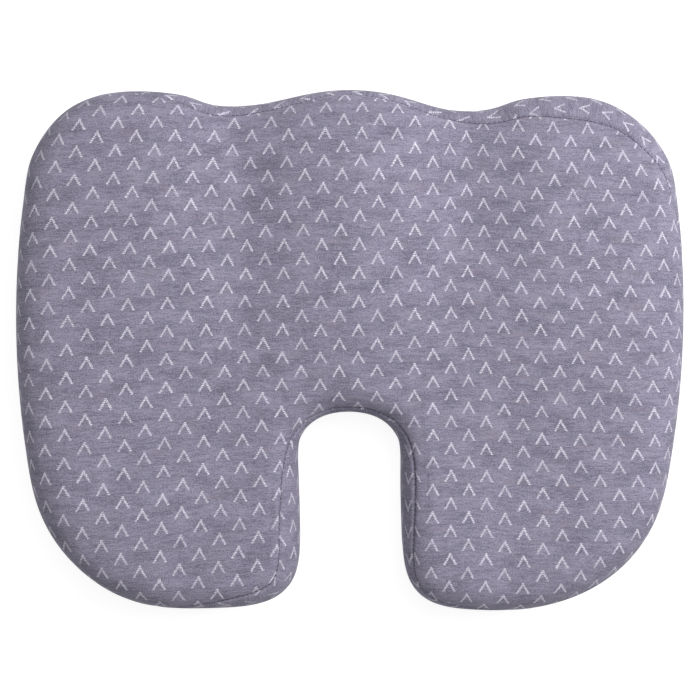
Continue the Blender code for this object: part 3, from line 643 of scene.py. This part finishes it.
def shape_cover(surface):
    """Swell the cover, then pull the seams in and ripple the fabric beside them."""
    points = grow_cover(surface)
    from_seam = np.abs(surface.climb - surface.seam_climb)
    groove = np.exp(-((from_seam / GROOVE_WIDTH) ** 2)) + np.exp(-((surface.climb / GROOVE_WIDTH) ** 2)) * 0.8
    ripple = np.zeros(surface.columns)
    for turns, phase in RIPPLES:
        ripple += np.sin(2 * np.pi * turns * surface.along / surface.outline.length + phase) / 4
    beside = np.exp(-(((from_seam - 4 * MM) / (3 * MM)) ** 2))
    depth = GROOVE_DEPTH * groove * (1 + 0.12 * ripple) + 0.06 * MM * beside * ripple
    for edge_row in surface.window_rows:
        from_edge = np.abs(surface.climb - surface.climb[edge_row])
        depth += 0.5 * MM * np.exp(-((from_edge / (0.8 * MM)) ** 2)) * (surface.zipped > 0.99)
    normals = surface.vertex_normals(points)
    surface.points = points - normals * surface.for_points(depth, 0.0)[:, None]
    surface.points[:, 2] = np.maximum(surface.points[:, 2], 0.0)
    surface.normals = surface.vertex_normals(surface.points)


# ---------------------------------------------------------------- materials

FABRIC_DARK = (0.138, 0.128, 0.182)
FABRIC_LIGHT = (0.385, 0.360, 0.470)
FABRIC_WARM = (0.310, 0.262, 0.315)
FABRIC_FLECK = (0.070, 0.064, 0.102)
CHEVRON_WHITE = (0.80, 0.77, 0.88)


class NodeMaterial:
    """A Principled material and short calls for its node tree."""

    def __init__(self, name, roughness, metallic=0.0, sheen=0.0):
        self.material = bpy.data.materials.new(name)
        self.material.use_nodes = True
        self.tree = self.material.node_tree
        self.shader = self.tree.nodes["Principled BSDF"]
        self.shader.inputs["Roughness"].default_value = roughness
        self.shader.inputs["Metallic"].default_value = metallic
        self.shader.inputs["Sheen Weight"].default_value = sheen
        self.shader.inputs["Sheen Roughness"].default_value = 0.45
        self.shader.inputs["Specular IOR Level"].default_value = 0.25 if metallic == 0 else 0.5

    def connect(self, source, target):
        if hasattr(source, "is_linked"):
            self.tree.links.new(source, target)
        else:
            target.default_value = source

    def node(self, kind, output=0, inputs=None, **settings):
        made = self.tree.nodes.new(kind)
        for key, value in settings.items():
            setattr(made, key, value)
        for key, value in (inputs or {}).items():
            self.connect(value, made.inputs[key])
        return made.outputs[output]

    def split(self, vector):
        """The three parts of a vector."""
        made = self.tree.nodes.new("ShaderNodeSeparateXYZ")
        self.connect(vector, made.inputs[0])
        return list(made.outputs)

    def math(self, operation, a, b=0.0, c=0.0):
        return self.node("ShaderNodeMath", operation=operation, inputs={0: a, 1: b, 2: c})

    def fit(self, value, low, high, new_low=0.0, new_high=1.0):
        """A smooth step between two values."""
        inputs = {"Value": value, "From Min": low, "From Max": high, "To Min": new_low, "To Max": new_high}
        return self.node("ShaderNodeMapRange", interpolation_type="SMOOTHSTEP", inputs=inputs)

    def uv(self, name):
        return self.node("ShaderNodeUVMap", uv_map=name)

    def place(self):
        return self.node("ShaderNodeTexCoord", output="Object")

    def scaled(self, vector, x, y, z=1.0, shift=(0.0, 0.0, 0.0)):
        inputs = {0: vector, 1: (x, y, z), 2: shift}
        return self.node("ShaderNodeVectorMath", operation="MULTIPLY_ADD", inputs=inputs)

    def noise(self, vector, scale=1.0, detail=2.0, roughness=0.5):
        inputs = {"Vector": vector, "Scale": scale, "Detail": detail, "Roughness": roughness}
        return self.node("ShaderNodeTexNoise", inputs=inputs)

    def mix(self, factor, a, b):
        made = self.tree.nodes.new("ShaderNodeMix")
        made.data_type = "RGBA"
        for value, socket in ((factor, made.inputs[0]), (a, made.inputs[6]), (b, made.inputs[7])):
            if isinstance(value, tuple):
                value = (*value, 1.0)
            self.connect(value, socket)
        return made.outputs[2]

    def colour(self, source):
        self.connect(source, self.shader.inputs["Base Color"])

    def bump(self, height, distance, strength=1.0):
        inputs = {"Height": height, "Distance": distance, "Strength": strength}
        self.connect(self.node("ShaderNodeBump", inputs=inputs), self.shader.inputs["Normal"])


def chevrons(m, fabric):
    """Strength of the knitted chevrons over fabric coordinates in metres."""
    inputs = {"Vector": fabric, "Scale": 1100.0, "Detail": 1.0}
    wobble = m.node("ShaderNodeTexNoise", output="Color", inputs=inputs)
    centred = m.node("ShaderNodeVectorMath", operation="SUBTRACT", inputs={0: wobble, 1: (0.5, 0.5, 0.5)})
    inputs = {0: centred, 1: (1.5 * MM, 0.7 * MM, 0.0), 2: fabric}
    moved = m.node("ShaderNodeVectorMath", operation="MULTIPLY_ADD", inputs=inputs)
    split = m.split(moved)
    row_height = CHEVRON_HEIGHT / CHEVRON_ROWS
    masks = []
    for shift in (0.0, 0.5):
        across = m.math("MULTIPLY_ADD", split[0], 1 / REPEAT_ACROSS, shift)
        along = m.math("MULTIPLY_ADD", split[1], 1 / REPEAT_ALONG, shift)
        across = m.math("MULTIPLY_ADD", m.math("FRACT", across), REPEAT_ACROSS, -REPEAT_ACROSS / 2)
        along = m.math("MULTIPLY_ADD", m.math("FRACT", along), REPEAT_ALONG, -REPEAT_ALONG / 2)
        fall = m.math("MULTIPLY_ADD", along, -1 / row_height, CHEVRON_ROWS / 2)
        row = m.math("FLOOR", fall)
        part = m.math("SINE", m.math("MULTIPLY", m.math("FRACT", fall), math.pi))
        spread = m.math("MULTIPLY", m.math("MAXIMUM", m.math("SUBTRACT", row, 0.4), 0.0), CHEVRON_STEP)
        off_arm = m.math("ABSOLUTE", m.math("SUBTRACT", m.math("ABSOLUTE", across), spread))
        half = m.math("MULTIPLY_ADD", part, 0.22 * CHEVRON_ARM, 0.32 * CHEVRON_ARM)
        arm = m.fit(m.math("SUBTRACT", half, off_arm), -0.22 * MM, 0.22 * MM)
        shade = m.math("MULTIPLY_ADD", part, 0.6, 0.4)
        inside = m.math("COMPARE", fall, CHEVRON_ROWS / 2, CHEVRON_ROWS / 2)
        masks.append(m.math("MULTIPLY", m.math("MULTIPLY", arm, shade), inside))
    wear = m.fit(m.noise(m.scaled(fabric, 48.0, 60.0, shift=(6.0, 2.0, 0.0))), 0.38, 0.60, 0.76, 1.0)
    return m.math("MULTIPLY", m.math("MAXIMUM", *masks), wear)


def heather_fabric(name):
    """Heathered knit with short slubs across it, small knitted chevrons and a soft nap."""
    m = NodeMaterial(name, roughness=0.95, sheen=0.06)
    fabric = m.uv("fabric")
    slub = m.noise(m.scaled(fabric, 260.0, 1150.0), detail=3.0, roughness=0.65)
    long_slub = m.noise(m.scaled(fabric, 75.0, 480.0, shift=(7.0, 3.0, 0.0)), detail=2.0, roughness=0.55)
    cloud = m.noise(m.scaled(fabric, 38.0, 85.0, shift=(2.0, 9.0, 0.0)), detail=2.0)
    grain = m.noise(m.scaled(fabric, 1150.0, 1250.0, shift=(3.0, 2.0, 0.0)), detail=1.0, roughness=0.6)
    fleck = m.noise(m.scaled(fabric, 330.0, 1500.0, shift=(1.0, 5.0, 0.0)), detail=2.0, roughness=0.7)
    tone = m.math("MULTIPLY", cloud, 0.20)
    for layer, share in ((slub, 0.32), (long_slub, 0.20), (grain, 0.40)):
        tone = m.math("MULTIPLY_ADD", layer, share, tone)
    tone = m.fit(tone, 0.40, 0.71)
    base = m.mix(tone, FABRIC_DARK, FABRIC_LIGHT)
    warm = m.noise(m.scaled(fabric, 40.0, 160.0, shift=(4.0, 1.0, 0.0)), detail=1.0)
    base = m.mix(m.fit(warm, 0.55, 0.75, 0.0, 0.25), base, FABRIC_WARM)
    base = m.mix(m.fit(fleck, 0.57, 0.72, 0.0, 0.6), base, FABRIC_FLECK)
    across, along, _ = m.split(fabric)
    wale = m.math("SINE", m.math("MULTIPLY", across, 2 * math.pi / (0.92 * MM)))
    lean = m.math("MULTIPLY", m.math("ABSOLUTE", wale), 0.9)
    course = m.math("SINE", m.math("MULTIPLY_ADD", along, 2 * math.pi / (0.80 * MM), lean))
    loops = m.math("MULTIPLY_ADD", wale, 0.25, m.math("MULTIPLY", course, 0.25))
    base = m.mix(m.fit(loops, -0.5, 0.5, 0.18, 0.0), base, FABRIC_FLECK)
    mask = chevrons(m, fabric)
    thread = m.noise(m.scaled(fabric, 850.0, 1050.0), detail=1.0)
    strength = m.math("MULTIPLY", mask, m.fit(thread, 0.30, 0.60, 0.30, 1.0))
    m.colour(m.mix(strength, base, CHEVRON_WHITE))
    fuzz = m.noise(m.scaled(fabric, 2600.0, 2600.0), detail=2.0, roughness=0.7)
    nap = m.math("MULTIPLY_ADD", fuzz, 0.5, m.math("MULTIPLY", mask, 0.9))
    height = m.math("MULTIPLY_ADD", loops, 0.5, nap)
    m.bump(m.math("MULTIPLY_ADD", slub, 0.6, height), 0.14 * MM, 0.7)
    return m.material


def plain_knit(name, dark, light, pitch, sheen=0.2):
    """A fine plain knit or jersey with slight tonal change."""
    m = NodeMaterial(name, roughness=0.9, sheen=sheen)
    place = m.place()
    tone = m.noise(place, 220.0, 3.0, 0.6)
    split = m.split(place)
    wave = 2 * math.pi / pitch
    wale = m.math("SINE", m.math("MULTIPLY", split[0], wave))
    course = m.math("SINE", m.math("MULTIPLY", m.math("ADD", split[1], split[2]), wave))
    loops = m.math("MULTIPLY_ADD", wale, 0.25, m.math("MULTIPLY_ADD", course, 0.25, 0.5))
    m.colour(m.mix(m.math("MULTIPLY_ADD", loops, 0.4, m.math("MULTIPLY", tone, 0.6)), dark, light))
    m.bump(m.math("MULTIPLY_ADD", tone, 0.5, loops), 0.12 * MM, 0.7)
    return m.material


def foam_material():
    m = NodeMaterial("memory_foam_cells", roughness=0.95)
    place = m.place()
    cells = m.node("ShaderNodeTexVoronoi", inputs={"Vector": place, "Scale": 900.0})
    cloud = m.noise(place, 30.0, 3.0)
    tone = m.math("MULTIPLY_ADD", cells, 0.5, m.math("MULTIPLY", cloud, 0.6))
    m.colour(m.mix(m.fit(tone, 0.2, 0.8), (0.62, 0.57, 0.46), (0.86, 0.83, 0.74)))
    m.bump(cells, 0.3 * MM, 0.8)
    return m.material


def thread_material(name, dark, light):
    """Twisted sewing thread."""
    m = NodeMaterial(name, roughness=0.6, sheen=0.3)
    twist = m.noise(m.place(), 2400.0, 2.0)
    m.colour(m.mix(m.fit(twist, 0.35, 0.65), dark, light))
    m.bump(twist, 0.08 * MM, 0.7)
    return m.material


def tape_material():
    """Woven tape with a fine rib along the zipper."""
    m = NodeMaterial("zipper_tape_weave", roughness=0.8, sheen=0.15)
    place = m.place()
    split = m.split(place)
    warp = m.math("SINE", m.math("MULTIPLY", split[2], 2 * math.pi / (0.7 * MM)))
    weft = m.math("SINE", m.math("MULTIPLY", split[1], 2 * math.pi / (0.5 * MM)))
    weave = m.math("MULTIPLY_ADD", m.math("MULTIPLY", warp, weft), 0.5, 0.5)
    tone = m.noise(place, 300.0, 2.0)
    shade = m.math("MULTIPLY_ADD", weave, 0.6, m.math("MULTIPLY", tone, 0.4))
    m.colour(m.mix(shade, (0.085, 0.08, 0.11), (0.20, 0.19, 0.24)))
    m.bump(weave, 0.12 * MM, 0.8)
    return m.material


def nylon_material():
    m = NodeMaterial("zipper_coil_nylon", roughness=0.38)
    tone = m.noise(m.place(), 500.0, 2.0)
    m.colour(m.mix(tone, (0.10, 0.095, 0.12), (0.20, 0.19, 0.235)))
    m.connect(m.fit(tone, 0.3, 0.7, 0.30, 0.46), m.shader.inputs["Roughness"])
    m.bump(tone, 0.03 * MM, 0.4)
    return m.material


def metal_material():
    """Plated die-cast metal, with fine casting grain and small scuffs."""
    m = NodeMaterial("zipper_plated_metal", roughness=0.3, metallic=1.0)
    place = m.place()
    grain = m.noise(place, 3500.0, 3.0, 0.7)
    scuff = m.noise(m.scaled(place, 400.0, 400.0, 2600.0), detail=3.0, roughness=0.6)
    m.colour(m.mix(m.fit(scuff, 0.45, 0.7), (0.46, 0.46, 0.48), (0.66, 0.66, 0.68)))
    m.connect(m.fit(scuff, 0.35, 0.7, 0.22, 0.42), m.shader.inputs["Roughness"])
    m.bump(m.math("MULTIPLY_ADD", scuff, 0.6, grain), 0.02 * MM, 0.5)
    return m.material


def silicone_material():
    m = NodeMaterial("anti_slip_silicone", roughness=0.42)
    tone = m.noise(m.place(), 350.0, 2.0)
    m.colour(m.mix(tone, (0.010, 0.010, 0.012), (0.026, 0.026, 0.030)))
    m.bump(tone, 0.03 * MM, 0.4)
    return m.material


def satin_material():
    m = NodeMaterial("label_satin_weave", roughness=0.45, sheen=0.3)
    weave = m.node("ShaderNodeTexWave", inputs={"Vector": m.place(), "Scale": 1600.0, "Distortion": 1.0})
    m.colour(m.mix(weave, (0.70, 0.70, 0.69), (0.88, 0.88, 0.87)))
    m.bump(weave, 0.05 * MM, 0.6)
    return m.material


HEATHER = heather_fabric("heather_knit")
ANTI_SLIP = plain_knit("anti_slip_knit", (0.035, 0.035, 0.041), (0.115, 0.115, 0.130), 1.1 * MM)
JERSEY = plain_knit("liner_jersey_knit", (0.62, 0.62, 0.60), (0.84, 0.84, 0.82), 0.9 * MM)
FOAM = foam_material()
DARK_THREAD = thread_material("seam_thread_dark", (0.055, 0.050, 0.080), (0.12, 0.11, 0.155))
GREY_THREAD = thread_material("topstitch_thread_grey", (0.26, 0.245, 0.32), (0.40, 0.38, 0.47))
TAPE = tape_material()
NYLON = nylon_material()
METAL = metal_material()
SILICONE = silicone_material()
SATIN = satin_material()


# ---------------------------------------------------------------- making pieces


def new_piece(name, points, faces, material, uv=None):
    """A mesh object that rides on the cushion. uv holds one fabric coordinate per point, in metres."""
    mesh = bpy.data.meshes.new(name)
    mesh.from_pydata(np.asarray(points).tolist(), [], faces)
    if uv is not None:
        corners = np.empty(len(mesh.loops), np.int32)
        mesh.loops.foreach_get("vertex_index", corners)
        layer = mesh.uv_layers.new(name="fabric")
        layer.uv.foreach_set("vector", uv[corners].astype(np.float32).ravel())
    mesh.shade_smooth()
    mesh.materials.append(material)
    piece = bpy.data.objects.new(name, mesh)
    bpy.context.scene.collection.objects.link(piece)
    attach(piece, "cushion")
    return piece


def thicken(piece, skin, offset=-1.0):
    thick = piece.modifiers.new("Thickness", "SOLIDIFY")
    thick.thickness = skin
    thick.offset = offset


def used_part(points, faces):
    """Which points some faces use, and the faces renumbered to them."""
    used = np.unique(np.concatenate([np.array(face) for face in faces]))
    number = np.full(len(points), -1)
    number[used] = np.arange(len(used))
    return used, [tuple(int(number[corner]) for corner in face) for face in faces]


def fabric_stretch(flat):
    """Fabric coordinates of places on the top panel, laid flat."""
    x, y = flat[:, 0], flat[:, 1]
    products = [np.ones_like(x), x, y, x * x, x * y, y * y, x * x * y, x * y * y, y**3]
    shares = np.column_stack(products)
    across = shares @ np.array(STRETCH_ACROSS)
    along = shares @ np.array(STRETCH_ALONG)
    for coordinate, (place, width, size) in ((across, TUCK_ACROSS), (along, TUCK_ALONG)):
        coordinate += size * np.tanh((x - place) / width)
    place, reach, size = SINK
    along += size * np.exp(-((x - place[0]) ** 2 + (y - place[1]) ** 2) / (2 * reach**2))
    return np.column_stack([across, along])


def cover_panel(surface, name, faces, uv, skin, replaces, material, slot):
    """A panel of the cover, with its thickness inwards."""
    used, faces = used_part(surface.points, faces)
    piece = new_piece(name, surface.points[used], faces, material, uv=uv[used])
    smooth = piece.modifiers.new("Subdivision", "SUBSURF")
    smooth.levels = smooth.render_levels = 1
    thicken(piece, skin)
    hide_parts(replaces)
    return piece


def layer_piece(surface, name, faces, depth, material, replaces, skin=None):
    """A piece that follows the cover from inside, some way below it."""
    points = surface.points - surface.normals * depth
    points[:, 2] = np.maximum(points[:, 2], DOT_HEIGHT + depth)
    used, faces = used_part(points, faces)
    piece = new_piece(name, points[used], faces, material)
    if skin:
        thicken(piece, skin)
    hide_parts(replaces)
    return piece


def tubes(lines, normals, radii, sides=6):
    """Round threads along some lines of points, closed at both ends."""
    points, faces = [], []
    for line, normal, radius in zip(lines, normals, radii):
        ahead = np.gradient(line, axis=0)
        ahead /= np.linalg.norm(ahead, axis=1, keepdims=True)
        across = np.cross(ahead, normal)
        across /= np.linalg.norm(across, axis=1, keepdims=True)
        up = np.cross(across, ahead)
        start = len(points)
        angles = np.arange(sides) * 2 * np.pi / sides
        for place, side, out, size in zip(line, across, up, radius):
            for angle in angles:
                points.append(place + size * (math.cos(angle) * side + math.sin(angle) * out))
        for step in range(len(line) - 1):
            for side in range(sides):
                a = start + step * sides + side
                b = start + step * sides + (side + 1) % sides
                faces.append((a, b, b + sides, a + sides))
        faces.append(tuple(range(start + sides - 1, start - 1, -1)))
        last = start + (len(line) - 1) * sides
        faces.append(tuple(range(last, last + sides)))
    return np.array(points), faces


def stitches(path, normals, pitch=STITCH_PITCH, length=STITCH_LENGTH, radius=THREAD_RADIUS, closed=True):
    """Single stitches along a path: each rises out of the fabric and dives back in."""
    if closed:
        path, normals = np.vstack([path, path[:1]]), np.vstack([normals, normals[:1]])
    along = np.concatenate([[0.0], np.cumsum(np.linalg.norm(np.diff(path, axis=0), axis=1))])
    count = int(along[-1] / pitch)
    share = np.linspace(0, 1, 6)
    lines, ups, radii = [], [], []
    for index in range(count):
        spots = (index + 0.5) * along[-1] / count + (share - 0.5) * length
        line = np.stack([np.interp(spots, along, path[:, axis]) for axis in range(3)], -1)
        normal = np.stack([np.interp(spots, along, normals[:, axis]) for axis in range(3)], -1)
        normal /= np.linalg.norm(normal, axis=1, keepdims=True)
        arch = np.sin(share * np.pi)
        lines.append(line + normal * (radius * (1.6 * arch - 0.9))[:, None])
        ups.append(normal)
        radii.append(radius * (0.7 + 0.3 * arch))
    return tubes(lines, ups, radii)


# ---------------------------------------------------------------- cover, liner and foam


def make_cover(surface):
    free = range(FREE_COLUMNS)
    zipped = range(FREE_COLUMNS, surface.columns)
    low_edge, high_edge = surface.window_rows
    bottom_seam, top_seam = surface.bottom_seam, surface.top_seam
    top = surface.band(top_seam, len(surface.rows) - 1) + surface.top_faces
    side = surface.band(bottom_seam, top_seam, free)
    above = surface.band(high_edge, top_seam, zipped)
    below = surface.band(bottom_seam, low_edge, zipped)
    foot = surface.foot_faces + surface.band(0, bottom_seam)
    wall_uv = surface.wall + np.array(BAND_START)
    knit = (HEATHER, "heather_fabric")
    grip = (ANTI_SLIP, "anti_slip_fabric")
    for name, faces, uv, skin, node, look in (
        ("top_panel", top, fabric_stretch(surface.flat), COVER_SKIN, "cover_top_panel", knit),
        ("side_band_panel", side, wall_uv, COVER_SKIN, "side_band", knit),
        ("zip_strip_above", above, wall_uv, STRIP_SKIN, "zip_strip_upper", knit),
        ("zip_strip_below", below, wall_uv, STRIP_SKIN, "zip_strip_lower", knit),
        ("bottom_panel", foot, surface.flat, COVER_SKIN, "cover_bottom_panel", grip),
    ):
        panel = cover_panel(surface, name, faces, uv, skin, node, *look)


def make_seam_threads(surface):
    count = surface.columns
    for name, row, node in (
        ("top_seam_stitches", surface.top_seam, "top_seam_thread"),
        ("bottom_seam_stitches", surface.bottom_seam, "bottom_seam_thread"),
    ):
        part = slice(row * count, (row + 1) * count)
        path = surface.points[part] + surface.normals[part] * 0.1 * MM
        points, faces = stitches(path, surface.normals[part])
        piece = new_piece(name, points, faces, DARK_THREAD)
        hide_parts(node)


def make_filling(surface):
    split = surface.window_rows[1] + 3
    upper = surface.band(split, len(surface.rows) - 1) + surface.top_faces
    lower = surface.foot_faces + surface.band(0, split)
    every = surface.all_faces()
    foam = layer_piece(surface, "foam_filling", every, FOAM_DEPTH, FOAM, "foam_core")
    for name, faces, node, area in (
        ("liner_upper_half", upper, "liner_top", LINER_TOP_AREA),
        ("liner_lower_half", lower, "liner_bottom", LINER_BOTTOM_AREA),
    ):
        liner = layer_piece(surface, name, faces, LINER_DEPTH, JERSEY, node, LINER_SKIN)


# ---------------------------------------------------------------- anti-slip dots


def make_dots(surface):
    """Low silicone domes on a staggered grid, inside the flat part of the underside."""
    height = DOT_HEIGHT + 0.1 * MM
    places, _ = fill(surface.rows[0, :, :2], DOT_PITCH, 3.0 * MM)
    angles = 2 * np.pi * np.arange(DOT_SIDES) / DOT_SIDES
    dome = [
        (DOT_RADIUS * share * math.cos(angle), DOT_RADIUS * share * math.sin(angle), height * (1 - drop))
        for share, drop in DOT_RINGS
        for angle in angles
    ]
    dome = np.array([*dome, (0.0, 0.0, 0.0)])
    around = [(side, (side + 1) % DOT_SIDES) for side in range(DOT_SIDES)]
    faces = []
    for ring in range(0, (len(DOT_RINGS) - 1) * DOT_SIDES, DOT_SIDES):
        over = ring + DOT_SIDES
        faces += [(ring + after, ring + side, over + side, over + after) for side, after in around]
    inner = (len(DOT_RINGS) - 1) * DOT_SIDES
    faces += [(inner + after, inner + side, len(dome) - 1) for side, after in around]
    faces.append(tuple(range(DOT_SIDES)))
    points = np.vstack([dome + (x, y, 0.0) for x, y in places])
    every = [tuple(i + dot * len(dome) for i in face) for dot in range(len(places)) for face in faces]
    new_piece("anti_slip_dots", points, every, SILICONE)


# ---------------------------------------------------------------- zipper


def wall_sheet(name, node, depth, skin, material, steps, crown=0.0):
    """A strip on the zipper wall where a CAD node is, optionally crowned, with its thickness inwards."""
    start, end, low, high = zipper.span(node)
    columns, rows = steps
    across = np.linspace(0, 1, rows + 1)[:, None]
    down = np.linspace(0, 1, columns + 1)[None, :]
    swell_out = crown * np.sqrt(np.sin(np.pi * across) * np.minimum(np.sin(np.pi * down) * 3, 1.0) + 1e-9)
    along, height = start + (end - start) * down, low + (high - low) * across
    places = zipper.at(along, height, depth - swell_out)
    corners = [row * (columns + 1) + column for row in range(rows) for column in range(columns)]
    faces = [(a, a + columns + 1, a + columns + 2, a + 1) for a in corners]
    uv = np.stack(np.broadcast_arrays(-height, along), -1)
    piece = new_piece(name, places.reshape(-1, 3), faces, material, uv=uv.reshape(-1, 2))
    thicken(piece, skin, 1.0)
    round_edge = piece.modifiers.new("Bevel", "BEVEL")
    round_edge.width = skin * 0.3
    round_edge.segments = 2
    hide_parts(node)


def make_coil(row, start, end, near, far, side):
    """A coil row: one nylon wire, wound between two distances from the chain's middle."""
    turns = int((end - start) / COIL_PITCH)
    t = np.linspace(0, turns, turns * 14 + 1)
    angle = 2 * np.pi * t
    middle, half = (near + far) / 2, (far - near) / 2 + 0.1 * MM
    up = middle - half * np.sign(np.cos(angle)) * np.abs(np.cos(angle)) ** 0.8
    out = 0.2 * MM - 0.95 * MM * np.sin(angle)
    lean = 0.32 * COIL_PITCH * np.sin(angle)
    along = start + (end - start) * t / turns
    line = zipper.at(along + lean, zipper.height + side * up, out)
    points, faces = tubes([line], [zipper.outward(along)], [np.full(len(line), COIL_WIRE)])
    coil = new_piece(f"zipper_coil_turns_{row}", points, faces, NYLON)
    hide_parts(f"zipper_coil_{row}")


def make_coil_stitches(row, start, end, near, far, side):
    """Two lines of stitches that hold a coil row to its tape."""
    along = np.linspace(start, end, 400)
    points, faces = [], []
    for offset in (0.25, 0.75):
        level = zipper.height + side * (near + (far - near) * offset)
        line, line_faces = stitches(
            zipper.at(along, level, -1.15 * MM), zipper.outward(along),
            pitch=2.9 * MM, length=2.7 * MM, radius=0.16 * MM, closed=False,
        )
        faces += [tuple(i + len(points) for i in face) for face in line_faces]
        points += list(line)
    new_piece(f"zipper_coil_stitches_{row}", np.array(points), faces, GREY_THREAD)


def make_zipper():
    for row, side in (("upper", 1), ("lower", -1)):
        start, end, low, high = zipper.span(f"zipper_coil_{row}")
        near, far = sorted((abs(low - zipper.height), abs(high - zipper.height)))
        make_coil(row, start, end, near, far, side)
        name, node = f"zipper_tape_woven_{row}", f"zipper_tape_{row}"
        wall_sheet(name, node, 1.8 * MM, 0.5 * MM, TAPE, (100, 4))
        make_coil_stitches(row, start, end, near, far, side)
    for end in ("front", "rear"):
        name, node = f"zipper_cover_tab_{end}", f"zipper_end_tab_{end}"
        wall_sheet(name, node, 0.35 * MM, 1.0 * MM, HEATHER, (10, 12), crown=0.35 * MM)


def make_topstitch():
    """A line of stitches along each edge of the zipper window."""
    along = np.linspace(1.5 * MM, zipper.length - 1.5 * MM, 500)
    for name, height in (("above", zipper.high + 2.0 * MM), ("below", zipper.low - 2.0 * MM)):
        path = zipper.at(along, height, -0.02 * MM)
        points, faces = stitches(path, zipper.outward(along), radius=0.22 * MM, closed=False)
        new_piece(f"zip_topstitch_{name}", points, faces, GREY_THREAD)


def finish_cad_nodes():
    """Real materials for the CAD nodes that stay, with softened edges on the metal."""
    stops = ["zipper_top_stop_upper", "zipper_top_stop_lower", "zipper_bottom_stop"]
    for name in ["zipper_slider", "zipper_pull", *stops, "care_label"]:
        node = frame["nodes"][name]
        for slot in node.material_slots:
            slot.material = SATIN if name == "care_label" else METAL
        if name != "care_label":
            soften = node.modifiers.new("Bevel", "BEVEL")
            soften.width = 0.16 * MM
            soften.segments = 3
            soften.limit_method = "ANGLE"
            soften.angle_limit = math.radians(40)


# ---------------------------------------------------------------- studio


def make_studio():
    half = FLOOR_HALF
    mesh = bpy.data.meshes.new("studio_floor")
    corners = [(-half, -half, 0.0), (half, -half, 0.0), (half, half, 0.0), (-half, half, 0.0)]
    mesh.from_pydata(corners, [], [(0, 1, 2, 3)])
    floor_look = NodeMaterial("studio_floor", roughness=0.9)
    tone = floor_look.noise(floor_look.scaled(floor_look.place(), 2.0, 2.0), detail=1.0)
    floor_look.colour(floor_look.mix(tone, (0.30, 0.30, 0.30), (0.32, 0.32, 0.32)))
    floor_look.shader.inputs["Emission Color"].default_value = (1.0, 1.0, 1.0, 1.0)
    floor_look.shader.inputs["Emission Strength"].default_value = 0.86
    mesh.materials.append(floor_look.material)
    floor = bpy.data.objects.new("studio_floor", mesh)
    bpy.context.scene.collection.objects.link(floor)
    floor.location.z = -0.3 * MM
    world = bpy.data.worlds.new("studio_world")
    bpy.context.scene.world = world
    world.use_nodes = True
    background = world.node_tree.nodes["Background"]
    background.inputs["Color"].default_value = (1.0, 1.0, 1.0, 1.0)
    background.inputs["Strength"].default_value = 0.12
    for name, place, size, power in (
        ("key", (0.95, 0.50, 1.15), 0.8, 18.5),
        ("overhead", (0.10, 0.30, 1.7), 1.1, 14.0),
    ):
        lamp = bpy.data.lights.new(name, "AREA")
        lamp.size = size
        lamp.energy = power
        holder = bpy.data.objects.new(name, lamp)
        bpy.context.scene.collection.objects.link(holder)
        holder.location = place
        holder.rotation_euler = (-Vector(place)).to_track_quat("-Z", "Y").to_euler()


def make_camera():
    """Straight above the cushion, turned a little about the view axis."""
    lens = bpy.data.cameras.new("camera")
    lens.lens = VIEW_LENS
    lens.sensor_width = 36.0
    lens.clip_start = 0.05
    holder = bpy.data.objects.new("camera", lens)
    bpy.context.scene.collection.objects.link(holder)
    holder.location = (*VIEW_SHIFT, VIEW_HEIGHT)
    holder.rotation_euler = (0.0, 0.0, VIEW_ROLL)
    bpy.context.scene.camera = holder


bpy.context.scene.view_settings.view_transform = "Standard"
surface = CoverSurface()
shape_cover(surface)
make_cover(surface)
make_seam_threads(surface)
make_filling(surface)
make_dots(surface)
make_zipper()
make_topstitch()
finish_cad_nodes()
make_studio()
make_camera()

bpy.context.view_layer.update()
